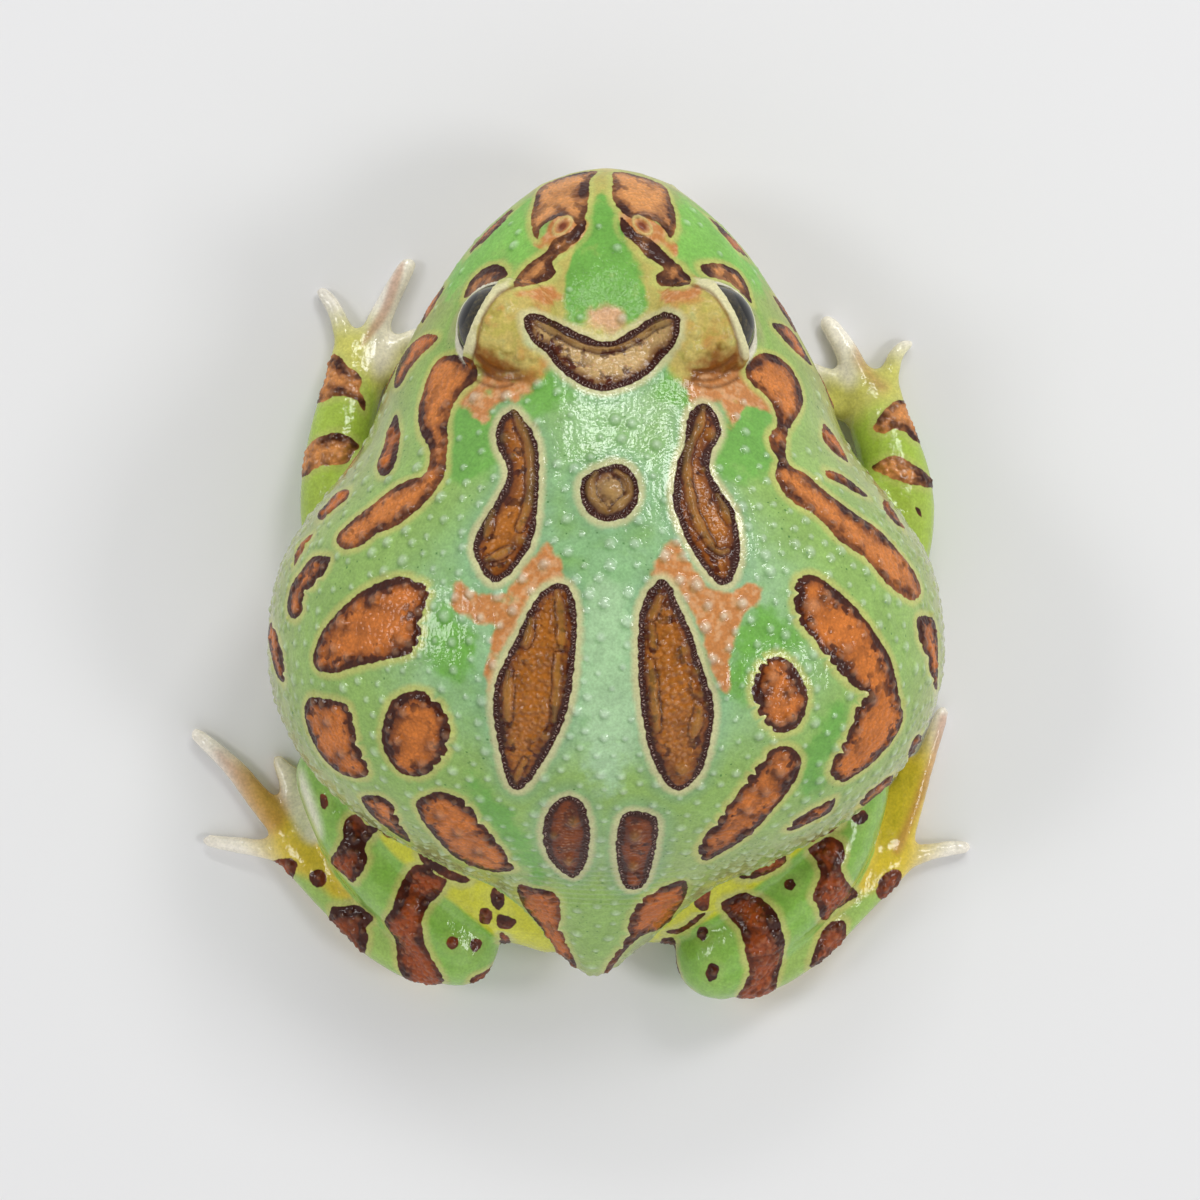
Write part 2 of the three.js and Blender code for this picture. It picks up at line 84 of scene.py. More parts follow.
# Markings. Each outline follows one blotch of the frog's left or right side. Those of the body are in
# pixels of the photograph, those of the limbs in mm on the plan at the height of the limbs (6 mm).
limbPlanHeight = 6.0
bodyBlotches = {
    "snoutLeft": ("snout", [(597, 171), (570, 175), (541, 187), (534, 204), (531, 222), (537, 240),
                            (541, 228), (552, 220), (566, 216), (580, 226), (586, 214), (589, 192),
                            (590, 180)]),
    "snoutRight": ("snout", [(614, 172), (640, 176), (664, 186), (671, 200), (676, 222), (671, 238),
                             (660, 224), (646, 218), (630, 218), (618, 208), (612, 196), (613, 184)]),
    "nostrilBandLeft": ("snout", [(586, 222), (582, 236), (566, 250), (552, 262), (556, 272), (544, 282),
                                  (514, 286), (526, 266), (545, 252), (556, 238), (570, 232), (580, 222)]),
    "nostrilBandRight": ("snout", [(621, 216), (636, 232), (650, 238), (668, 256), (684, 270), (690, 284),
                                   (662, 286), (656, 276), (664, 268), (646, 256), (634, 242), (622, 232)]),
    "beforeEyeLeft": ("snout", [(464, 298), (470, 282), (484, 268), (500, 265), (508, 274), (500, 280),
                                (484, 286), (472, 294)]),
    "beforeEyeRight": ("snout", [(700, 266), (716, 263), (736, 270), (746, 284), (752, 304), (742, 294),
                                 (728, 282), (708, 276)]),
    "saddle": ("saddle", [(523, 318), (532, 313), (546, 317), (573, 330), (595, 340), (604, 341),
                          (616, 340), (638, 326), (654, 316), (666, 312), (678, 316), (680, 326),
                          (676, 342), (662, 360), (642, 378), (620, 388), (604, 391), (588, 388),
                          (573, 380), (556, 366), (546, 352), (534, 344), (528, 334)]),
    "bandHeadLeft": ("band", [(440, 358), (458, 355), (471, 360), (477, 370), (476, 380), (464, 390),
                              (454, 404), (448, 422), (448, 440), (446, 456), (446, 468), (442, 480),
                              (431, 496), (408, 518), (388, 530), (376, 534), (364, 544), (350, 549),
                              (339, 546), (337, 536), (350, 522), (368, 508), (396, 486), (412, 479),
                              (425, 474), (430, 460), (428, 446), (421, 434), (418, 418), (421, 398),
                              (430, 372)]),
    "bandHeadRight": ("band", [(758, 354), (776, 356), (790, 367), (800, 385), (803, 402), (797, 417),
                               (788, 431), (786, 448), (789, 464), (807, 475), (825, 491), (853, 512),
                               (879, 530), (899, 552), (915, 573), (921, 592), (914, 600), (904, 597),
                               (886, 583), (867, 560), (839, 540), (819, 518), (799, 506), (784, 493),
                               (775, 476), (778, 460), (771, 448), (769, 436), (777, 424), (774, 408),
                               (764, 394), (752, 384), (745, 370)]),
    "bottleLeft": ("centre", [(514, 410), (525, 421), (535, 437), (539, 456), (539, 476), (538, 500),
                              (536, 523), (530, 546), (513, 571), (498, 582), (487, 578), (475, 557),
                              (474, 540), (484, 520), (497, 499), (506, 481), (506, 465), (499, 451),
                              (495, 434), (501, 418)]),
    "bottleRight": ("centre", [(704, 403), (715, 412), (721, 430), (717, 443), (710, 456), (711, 474),
                               (722, 492), (735, 514), (740, 543), (738, 567), (728, 584), (715, 581),
                               (697, 558), (682, 530), (673, 500), (677, 466), (685, 443), (687, 422),
                               (692, 409)]),
    "ring": ("ring", [(604, 466), (618, 463), (631, 470), (638, 484), (638, 500), (630, 514), (614, 521),
                      (598, 520), (586, 510), (580, 494), (582, 480), (590, 472)]),
    "longLeft": ("centre", [(553, 584), (562, 583), (571, 590), (576, 608), (577, 632), (574, 673),
                            (569, 703), (558, 735), (540, 767), (522, 789), (508, 783), (499, 749),
                            (493, 707), (496, 680), (506, 658), (522, 625), (536, 598)]),
    "longRight": ("centre", [(662, 579), (671, 586), (678, 602), (691, 632), (699, 655), (706, 678),
                             (714, 707), (710, 742), (700, 774), (682, 790), (667, 784), (652, 758),
                             (643, 719), (638, 673), (639, 619), (645, 597), (653, 586)]),
    "flankLeft1": ("flank", [(389, 579), (405, 577), (421, 582), (429, 590), (427, 600), (422, 618),
                             (420, 640), (408, 654), (380, 661), (352, 668), (337, 673), (319, 671),
                             (313, 660), (318, 640), (330, 620), (348, 602), (367, 588)]),
    "flankLeftRound": ("flank", [(410, 691), (424, 692), (437, 700), (450, 724), (448, 750), (436, 766),
                                 (422, 776), (402, 774), (388, 758), (382, 740), (384, 720), (391, 702)]),
    "flankLeft3": ("flank", [(312, 697), (326, 699), (349, 706), (355, 730), (361, 750), (369, 772),
                             (356, 778), (335, 770), (317, 750), (306, 724), (305, 706)]),
    "flankLeft4": ("flank", [(362, 797), (380, 796), (392, 804), (402, 826), (411, 842), (398, 836),
                             (384, 826), (367, 810)]),
    "flankLeft5": ("flank", [(417, 801), (430, 794), (442, 792), (460, 798), (470, 806), (482, 822),
                             (499, 844), (514, 867), (504, 872), (488, 871), (456, 858), (430, 831),
                             (418, 812)]),
    "edgeLeft0": ("flank", [(330, 558), (326, 570), (318, 582), (305, 594), (302, 612), (294, 619),
                            (287, 609), (292, 584), (303, 568), (314, 556)]),
    "edgeLeft1": ("flank", [(271, 622), (279, 640), (284, 662), (284, 682), (277, 676), (271, 655),
                            (268, 636)]),
    "flankRight1": ("flank", [(797, 580), (808, 575), (818, 577), (839, 592), (857, 609), (876, 634),
                              (891, 660), (898, 690), (903, 718), (892, 742), (869, 766), (848, 780),
                              (838, 781), (829, 770), (838, 752), (850, 728), (856, 708), (864, 694),
                              (848, 682), (830, 662), (813, 639), (799, 622), (794, 601)]),
    "flankRightRound": ("flank", [(765, 660), (776, 656), (788, 660), (802, 679), (808, 700), (800, 724),
                                  (788, 732), (774, 732), (759, 714), (752, 694), (756, 672)]),
    "flankRight3": ("flank", [(772, 749), (784, 746), (795, 750), (801, 763), (793, 785), (772, 811),
                              (750, 835), (722, 853), (704, 861), (698, 852), (702, 840), (717, 820),
                              (735, 796), (754, 770)]),
    "edgeRight4": ("flank", [(917, 619), (926, 616), (935, 622), (938, 648), (937, 690), (931, 676),
                             (927, 658), (919, 640)]),
    "edgeRight5": ("flank", [(919, 734), (924, 742), (918, 752), (911, 764), (908, 756), (912, 742)]),
    "edgeRight6": ("flank", [(860, 802), (870, 790), (884, 780), (893, 774), (890, 784), (876, 796),
                             (864, 806)]),
    "edgeRight7": ("flank", [(786, 829), (800, 816), (818, 806), (835, 798), (830, 812), (812, 822),
                             (794, 830)]),
    "lowerLeft": ("lower", [(569, 796), (580, 801), (586, 810), (590, 834), (586, 862), (576, 877),
                            (564, 874), (549, 858), (543, 838), (545, 818), (555, 802)]),
    "lowerRight": ("lower", [(636, 811), (650, 814), (658, 823), (655, 852), (646, 882), (632, 890),
                             (621, 880), (616, 848), (619, 822), (626, 813)]),
    "rumpLeft": ("rump", [(518, 885), (534, 888), (549, 890), (560, 900), (561, 926), (568, 944),
                          (576, 964), (579, 980), (566, 960), (551, 950), (538, 926), (521, 902)]),
    "rumpRight": ("rump", [(685, 881), (685, 898), (664, 926), (642, 936), (626, 950), (612, 968),
                           (600, 984), (610, 960), (624, 942), (630, 918), (641, 900), (664, 886)]),
    "cheekLeft1": ("cheek", [(394, 386), (398, 366), (408, 348), (424, 335), (438, 336), (434, 344),
                             (420, 356), (408, 372), (400, 386)]),
    "cheekLeft2": ("cheek", [(396, 415), (400, 430), (398, 452), (392, 470), (382, 476), (377, 466),
                             (383, 448), (388, 430)]),
    "cheekLeft3": ("cheek", [(349, 490), (346, 500), (336, 508), (322, 520), (318, 514), (328, 502),
                             (338, 492)]),
    "cheekLeft4": ("cheek", [(313, 534), (306, 546), (300, 556), (294, 566), (296, 552), (304, 540)]),
    "cheekRight1": ("cheek", [(772, 324), (786, 326), (797, 338), (806, 354), (812, 366), (800, 356),
                              (784, 340)]),
    "cheekRight2": ("cheek", [(824, 424), (832, 432), (842, 448), (848, 462), (838, 456), (828, 446),
                              (822, 436)]),
    "cheekRight3": ("cheek", [(826, 470), (840, 474), (852, 482), (868, 496), (858, 494), (842, 484),
                              (828, 478)]),
    "cheekRight4": ("cheek", [(884, 500), (896, 514), (904, 530), (894, 522), (884, 510)]),
}
limbBlotches = {
    "shankLeftUpper": ("leg", [(32.4, 25.8), (31.4, 25.3), (30.2, 26.6), (28.6, 27.0), (29.6, 28.4),
                               (30.2, 29.4), (30.0, 31.0), (30.6, 32.4), (31.8, 33.9), (33.0, 32.9),
                               (34.6, 31.3), (33.7, 29.6), (33.0, 28.2), (33.1, 27.0)]),
    "shankLeftMain": ("leg", [(24.3, 31.9), (22.5, 31.8), (21.2, 33.0), (20.0, 33.7), (20.8, 35.2),
                              (22.2, 36.8), (23.0, 38.4), (22.9, 41.0), (22.2, 42.8), (21.3, 44.4),
                              (20.4, 46.2), (21.4, 47.2), (22.8, 47.4), (24.6, 46.9), (25.6, 45.6),
                              (26.2, 44.2), (26.4, 41.4), (27.5, 39.6), (27.8, 38.6), (26.9, 37.2),
                              (26.3, 35.6), (25.6, 33.8)]),
    "heelLeftDot1": ("dot", [(20.1, 41.6), (19.4, 42.4), (18.6, 41.8), (18.7, 40.9), (19.6, 40.7)]),
    "heelLeftDot2": ("dot", [(17.1, 41.8), (16.5, 42.6), (15.7, 42.1), (15.7, 41.2), (16.6, 41.0)]),
    "heelLeftInner": ("leg", [(13.3, 40.3), (13.3, 42.5), (14.0, 44.0), (15.3, 45.1), (17.0, 46.0),
                              (16.8, 47.4), (15.0, 47.4), (13.2, 45.8), (12.1, 43.4), (12.1, 41.0)]),
    "thighLeft1": ("dot", [(15.9, 37.5), (14.9, 37.1), (14.2, 38.0), (14.7, 39.1), (15.8, 38.9)]),
    "thighLeft2": ("dot", [(13.9, 34.4), (13.0, 34.9), (12.7, 36.2), (13.3, 37.4), (14.2, 36.8),
                           (14.5, 35.4)]),
    "thighLeft3": ("dot", [(13.6, 37.9), (12.2, 38.2), (11.2, 38.9), (12.3, 39.8), (13.6, 39.4)]),
    "thighLeftStripe": ("leg", [(23.2, 30.0), (21.4, 31.3), (19.6, 32.3), (17.0, 33.5), (18.4, 34.0),
                                (20.0, 33.4), (21.6, 32.5), (23.4, 31.0)]),
    "kneeLeft": ("dot", [(35.9, 23.0), (35.2, 22.8), (34.9, 24.0), (35.3, 24.8), (35.9, 24.2)]),
    "footLeftOuter": ("dot", [(42.2, 31.6), (41.1, 31.0), (39.6, 30.9), (38.8, 31.6), (39.2, 33.0),
                              (39.5, 34.4), (40.2, 35.2), (41.4, 33.6)]),
    "footLeftSpot": ("dot", [(37.2, 32.9), (36.4, 32.3), (35.4, 32.6), (35.0, 33.4), (35.4, 34.3),
                             (36.4, 34.5), (37.1, 33.9)]),
    "footLeftBand": ("leg", [(34.4, 37.0), (32.8, 36.9), (31.4, 36.7), (29.9, 37.7), (29.2, 38.4),
                             (30.0, 39.4), (29.9, 40.8), (30.3, 42.8), (31.0, 43.4), (32.4, 42.0),
                             (34.0, 40.6), (34.9, 39.4), (34.8, 38.2)]),
    "shankRightMain": ("leg", [(-14.4, 36.6), (-16.0, 35.7), (-17.6, 35.2), (-19.6, 36.0), (-21.2, 37.4),
                               (-21.9, 39.2), (-22.5, 41.0), (-22.3, 43.0), (-21.7, 45.5), (-21.2, 47.6),
                               (-19.5, 48.8), (-17.4, 49.2), (-16.3, 48.6), (-17.4, 46.8), (-18.0, 45.0),
                               (-17.6, 43.2), (-17.3, 41.2), (-16.6, 39.6), (-15.6, 38.4)]),
    "shankRightUpper": ("leg", [(-25.5, 29.8), (-27.2, 28.5), (-28.6, 28.2), (-29.8, 29.0), (-30.0, 30.6),
                                (-29.6, 32.0), (-30.4, 33.8), (-31.6, 35.4), (-30.0, 36.6), (-28.8, 37.4),
                                (-27.8, 38.6), (-27.0, 38.4), (-26.6, 36.8), (-26.0, 35.8), (-26.4, 34.4),
                                (-26.9, 33.0), (-26.6, 31.4)]),
    "heelRightDot1": ("dot", [(-12.9, 40.2), (-12.3, 41.2), (-11.5, 40.7), (-11.5, 39.8), (-12.3, 39.5)]),
    "heelRightDot2": ("dot", [(-14.2, 44.8), (-13.8, 46.0), (-13.0, 46.3), (-12.5, 45.4), (-12.9, 44.3),
                              (-13.6, 44.1)]),
    "heelRightInner": ("leg", [(-7.0, 41.0), (-8.6, 41.0), (-8.8, 43.0), (-9.2, 45.0), (-10.0, 46.8),
                               (-11.2, 47.8), (-12.0, 49.6), (-10.4, 49.6), (-8.4, 47.4), (-7.4, 44.6),
                               (-6.9, 42.4)]),
    "shankRightDot": ("dot", [(-23.9, 34.2), (-23.3, 34.9), (-22.5, 34.5), (-22.6, 33.7), (-23.4, 33.5)]),
    "thighRight1": ("leg", [(-16.1, 32.5), (-17.2, 31.3), (-19.0, 30.5), (-21.5, 29.8), (-22.4, 30.4),
                            (-22.5, 31.5), (-21.0, 32.5), (-19.0, 33.3), (-17.0, 33.4)]),
    "thighRight2": ("dot", [(-11.8, 37.4), (-11.0, 36.2), (-12.0, 34.8), (-13.1, 34.9), (-13.0, 36.4),
                            (-12.7, 37.4)]),
    "thighRightStripe": ("leg", [(-7.5, 40.1), (-9.5, 39.5), (-11.4, 38.1), (-12.6, 37.7), (-11.0, 39.3),
                                 (-9.0, 40.4)]),
    "kneeRight": ("leg", [(-27.0, 27.4), (-28.5, 26.1), (-30.2, 25.2), (-29.4, 26.7), (-28.0, 27.7)]),
    "kneeRightSpot": ("dot", [(-31.0, 25.4), (-32.3, 24.8), (-33.0, 25.6), (-32.3, 26.6), (-31.2, 26.3)]),
    "footRightBand": ("leg", [(-26.2, 42.4), (-26.8, 40.8), (-28.0, 39.1), (-29.4, 38.6), (-30.2, 39.2),
                              (-30.0, 41.2), (-28.2, 43.0), (-26.5, 44.4), (-25.6, 44.4)]),
    "footRightSpot": ("dot", [(-33.9, 35.2), (-34.7, 33.2), (-36.4, 32.2), (-37.2, 33.2), (-36.0, 35.2),
                              (-34.9, 36.2)]),
    "armLeft1": ("arm", [(36.6, -26.4), (36.2, -28.5), (35.6, -30.4), (34.4, -32.4), (33.5, -32.2),
                         (32.4, -31.0), (31.1, -30.0), (30.7, -29.0), (31.0, -27.9), (30.2, -26.6),
                         (30.4, -25.4), (31.4, -26.7), (32.6, -27.1), (34.0, -27.2), (35.4, -26.6)]),
    "armLeft2": ("arm", [(38.8, -17.2), (38.2, -19.6), (36.9, -21.5), (35.4, -22.3), (33.6, -22.7),
                         (32.2, -22.1), (31.0, -21.0), (31.8, -20.0), (32.4, -19.0), (34.0, -18.6),
                         (35.6, -18.5), (36.8, -18.0), (37.6, -17.2)]),
    "armRight1": ("arm", [(-33.6, -23.0), (-34.0, -24.1), (-35.2, -25.7), (-36.6, -26.7), (-37.8, -26.4),
                          (-38.8, -24.4), (-39.8, -22.4), (-40.4, -20.9), (-38.6, -21.7), (-37.6, -22.7),
                          (-36.2, -23.1), (-34.8, -22.5)]),
    "armRight2": ("arm", [(-33.4, -18.2), (-34.8, -19.3), (-36.0, -19.7), (-37.6, -19.3), (-39.2, -18.3),
                          (-40.6, -17.2), (-41.4, -15.7), (-38.8, -16.1), (-37.0, -16.5), (-35.4, -17.1)]),
    "armRightDot": ("dot", [(-38.8, -13.4), (-39.5, -12.9), (-39.7, -12.0), (-39.2, -12.3)]),
}
# Blotches low on the flanks and lips, below what the photograph shows: Y, height, half length and half
# height in mm.
flankSpots = {
    1: [(-47, 19.5, 2.6, 1.8), (-38, 16.8, 2.2, 2.8), (-29, 14.2, 2.4, 2.6), (-12, 12.5, 3.6, 2.4),
        (-3, 9.0, 2.6, 2.0), (5, 12.4, 3.4, 2.6), (13, 8.6, 2.2, 1.7), (19, 13.6, 3.2, 2.2),
        (-17.5, 8.2, 1.8, 1.5), (26, 15.5, 2.4, 1.6)],
    -1: [(-46, 19.0, 2.4, 1.8), (-37, 16.4, 2.2, 2.8), (-27, 14.4, 2.6, 2.4), (-13, 11.6, 3.2, 2.2),
         (-2, 12.8, 3.8, 2.4), (6, 8.8, 2.4, 1.9), (14, 12.8, 3.0, 2.4), (22, 10.6, 2.2, 1.7),
         (-19, 7.8, 1.8, 1.4), (27, 16.0, 2.4, 1.6)],
}
# What each family of blotches looks like: tone along the brown ramp, how strong its dark border is and how
# strong the pale line round it is.
blotchKinds = {
    "saddle": {"tone": 0.0, "border": 1.0, "halo": 0.85},
    "ring": {"tone": 0.03, "border": 1.0, "halo": 0.8},
    "lower": {"tone": 0.20, "border": 1.0, "halo": 0.8},
    "centre": {"tone": 0.30, "border": 1.0, "halo": 0.9},
    "snout": {"tone": 0.70, "border": 0.45, "halo": 0.9},
    "flank": {"tone": 0.52, "border": 0.85, "halo": 0.9},
    "band": {"tone": 0.56, "border": 0.42, "halo": 0.9},
    "cheek": {"tone": 0.80, "border": 0.40, "halo": 0.7},
    "rump": {"tone": 0.86, "border": 0.60, "halo": 0.6},
    "arm": {"tone": 0.72, "border": 0.12, "halo": 0.45},
    "leg": {"tone": 1.0, "border": 0.55, "halo": 0.9},
    "dot": {"tone": 1.0, "border": 0.35, "halo": 0.12},
}
# Patches of the ground colour without a border, in pixels: what attribute they raise, and how soft their
# edge is in mm.
groundPatches = [
    ("orange", 0.8, [(548, 541), (558, 560), (561, 582), (545, 584), (530, 602), (510, 632), (500, 660),
                     (490, 692), (484, 660), (496, 628), (470, 622), (452, 604), (460, 580), (474, 592),
                     (496, 594), (516, 578), (534, 556)]),
    ("orange", 0.8, [(674, 541), (660, 550), (653, 573), (666, 578), (682, 594), (698, 628), (714, 668),
                     (727, 692), (730, 652), (744, 614), (762, 600), (756, 584), (738, 586), (716, 592),
                     (698, 570), (684, 552)]),
    ("orange", 0.9, [(440, 416), (450, 392), (470, 378), (500, 376), (530, 388), (520, 402), (506, 400),
                     (490, 410), (484, 424), (466, 406), (450, 408)]),
    ("orange", 0.9, [(776, 412), (762, 388), (744, 374), (712, 374), (690, 390), (698, 402), (712, 398),
                     (724, 408), (732, 426), (748, 408), (764, 408)]),
    ("tan", 0.8, [(596, 168), (616, 168), (626, 200), (640, 232), (662, 262), (672, 284), (668, 300),
                  (662, 318), (640, 336), (604, 346), (570, 338), (548, 320), (544, 300), (540, 286),
                  (556, 262), (574, 240), (584, 210)]),
    ("lush", 0.5, [(597, 194), (591, 204), (577, 239), (567, 274), (566, 298), (572, 312), (584, 321),
                   (602, 313), (622, 313), (637, 320), (645, 303), (646, 287), (637, 271), (628, 248),
                   (621, 228), (613, 202), (606, 194)]),
    ("peach", 1.5, [(586, 324), (590, 313), (604, 307), (619, 313), (623, 324), (604, 331)]),
    ("orange", 0.5, [(534, 243), (545, 234), (554, 217), (566, 211), (580, 215), (587, 222), (583, 234),
                     (573, 248), (557, 257), (546, 251)]),
    ("orange", 0.5, [(620, 213), (636, 210), (650, 218), (665, 231), (677, 246), (673, 257), (658, 253),
                     (642, 245), (628, 235)]),
    ("ochre", 1.0, [(474, 300), (494, 286), (512, 282), (536, 284), (551, 300), (545, 316), (528, 316),
                    (524, 322), (530, 344), (548, 356), (542, 376), (520, 390), (486, 392), (462, 372),
                    (464, 344), (468, 318)]),
    ("ochre", 1.0, [(738, 300), (718, 286), (696, 280), (670, 284), (656, 300), (664, 312), (680, 314),
                    (682, 330), (676, 344), (668, 366), (680, 382), (700, 392), (736, 390), (756, 370),
                    (746, 344), (742, 318)]),
    ("orange", 1.0, [(508, 286), (530, 281), (552, 287), (560, 297), (546, 305), (530, 299), (514, 298)]),
    ("orange", 1.0, [(702, 284), (690, 279), (668, 281), (656, 292), (664, 303), (680, 299), (698, 296)]),
    # orange-brown patches behind the brows, darkened partly as painted shade behind the brow
    ("rustAndShade", 2.4, [(472, 338), (482, 350), (500, 352), (518, 362), (528, 378), (516, 393), (494, 396),
                   (478, 388), (467, 370), (469, 350)]),
    ("rustAndShade", 2.4, [(738, 338), (728, 350), (712, 352), (694, 364), (686, 380), (700, 395), (720, 397),
                   (736, 388), (747, 370), (743, 350)]),
    ("cream", 0.3, [(514, 279), (496, 280), (480, 291), (466, 313), (458, 338), (460, 358), (470, 362),
                    (475, 347), (478, 330), (484, 314), (494, 300), (509, 288)]),
    ("cream", 0.3, [(690, 279), (706, 279), (724, 283), (740, 297), (749, 321), (752, 345), (748, 359),
                    (742, 359), (737, 343), (729, 316), (716, 298), (702, 288)]),
    ("vent", 0.6, [(500, 928), (516, 940), (540, 962), (560, 976), (588, 996), (616, 992), (640, 972),
                   (672, 948), (680, 930), (656, 938), (632, 956), (612, 976), (600, 984), (588, 980),
                   (566, 962), (540, 942), (520, 924)]),
    ("lush", 1.4, [(452, 414), (468, 404), (486, 408), (498, 432), (503, 456), (488, 476), (458, 482),
                   (446, 468), (448, 440)]),
    ("lush", 1.4, [(776, 414), (756, 402), (734, 408), (720, 436), (712, 460), (728, 482), (756, 482),
                   (774, 466), (768, 440)]),
    ("lush", 1.6, [(520, 392), (544, 372), (566, 384), (574, 396), (552, 410), (532, 424), (520, 412)]),
    ("lush", 1.6, [(662, 380), (682, 364), (700, 388), (694, 406), (672, 404), (656, 396)]),
    ("lush", 1.2, [(600, 196), (586, 238), (572, 276), (564, 312), (584, 326), (598, 312), (612, 310),
                   (628, 324), (646, 308), (640, 270), (622, 232), (608, 196)]),
    ("jaw", 1.6, [(530, 196), (500, 212), (470, 244), (444, 280), (450, 300), (470, 276), (500, 258),
                  (524, 262), (534, 244), (528, 224)]),
    ("jaw", 1.6, [(680, 196), (710, 214), (740, 244), (764, 276), (760, 296), (740, 272), (706, 256),
                  (690, 262), (676, 246), (680, 224)]),
    ("lush", 1.6, [(440, 604), (468, 626), (480, 646), (466, 674), (444, 676), (430, 652)]),
    ("lush", 2.0, [(770, 604), (742, 622), (734, 650), (728, 690), (744, 700), (756, 660), (790, 652),
                   (800, 640)]),
    ("lush", 2.0, [(470, 770), (500, 800), (530, 830), (540, 880), (510, 850), (480, 812)]),
    ("lush", 2.0, [(820, 720), (836, 700), (850, 712), (838, 745), (820, 780), (806, 800), (800, 770)]),
]
# painted highlight: a paler strip along the middle of the back
groundPatches.append(("mist", 2.5, [(604, 580), (588, 600), (580, 640), (578, 700), (585, 760), (600, 790),
                                    (620, 785), (632, 740), (636, 680), (632, 620), (624, 590)]))
limbPatches = [
    ("blush", 1.2, [(216, 752), (238, 762), (262, 776), (286, 800), (286, 824), (268, 834), (252, 814),
                    (234, 786)]),
    ("blush", 0.5, [(940, 716), (932, 749), (919, 784), (906, 819), (893, 849), (901, 852), (915, 820),
                    (929, 788), (942, 752), (949, 720)]),
    ("blush", 0.4, [(404, 262), (398, 290), (384, 322), (362, 346), (368, 330), (382, 306), (392, 276)]),
    ("blush", 1.0, [(858, 345), (874, 372), (888, 386), (880, 392), (866, 378), (854, 360)]),
    ("pale", 0.8, [(268, 746), (290, 752), (310, 790), (322, 834), (308, 842), (290, 816), (274, 786)]),
    ("pale", 1.4, [(372, 330), (388, 300), (396, 262), (420, 250), (420, 300), (402, 340), (392, 366),
                   (378, 376), (368, 356)]),
    ("pale", 1.4, [(812, 310), (836, 312), (848, 346), (858, 372), (848, 386), (830, 364)]),
    ("verge", 0.8, [(295, 873), (317, 883), (333, 897), (352, 903), (334, 912), (326, 930), (300, 915),
                    (280, 880)]),
    ("verge", 0.8, [(372, 921), (396, 940), (405, 985), (360, 965), (364, 938)]),
    ("verge", 0.8, [(838, 912), (878, 889), (888, 898), (862, 930), (840, 945)]),
    ("verge", 0.8, [(784, 952), (815, 933), (812, 968), (780, 995), (776, 970)]),
]
# Raised ridges and bumps of the markings, in pixels: points along the ridge, half width and height in mm.
ridges = [
    ([(514, 412), (522, 428), (529, 447), (531, 470), (530, 496), (526, 514), (520, 528)], 0.55, 0.42),
    ([(703, 408), (698, 428), (689, 447), (686, 472), (690, 496), (694, 514), (702, 530),
      (711, 545)], 0.55, 0.42),
    ([(493, 512), (489, 524), (487, 536)], 0.6, 0.34),
    ([(487, 560), (498, 556), (510, 549)], 0.5, 0.34),
    ([(717, 496), (723, 508), (729, 522)], 0.55, 0.34),
    ([(712, 548), (720, 553), (727, 551)], 0.4, 0.26),
    ([(596, 474), (590, 484), (591, 496), (598, 505), (607, 513)], 0.55, 0.45),
    ([(616, 472), (627, 481), (629, 495), (621, 505), (612, 512)], 0.55, 0.45),
    ([(557, 592), (561, 612), (562, 648)], 0.5, 0.42),
    ([(558, 655), (557, 690), (554, 720)], 0.5, 0.42),
    ([(531, 620), (529, 632), (526, 644)], 0.6, 0.40),
    ([(509, 672), (508, 690), (508, 718)], 0.6, 0.40),
    ([(525, 760), (521, 768), (517, 777)], 0.5, 0.36),
    ([(659, 598), (656, 606), (651, 616)], 0.65, 0.42),
    ([(651, 626), (652, 636), (653, 646)], 0.5, 0.36),
    ([(650, 662), (653, 690), (657, 728)], 0.55, 0.44),
    ([(699, 708), (697, 720), (693, 733)], 0.65, 0.42),
    ([(536, 322), (552, 331), (570, 341), (588, 348), (604, 350), (622, 347), (640, 337), (656, 327),
      (670, 321)],
     0.35, 0.32),
]
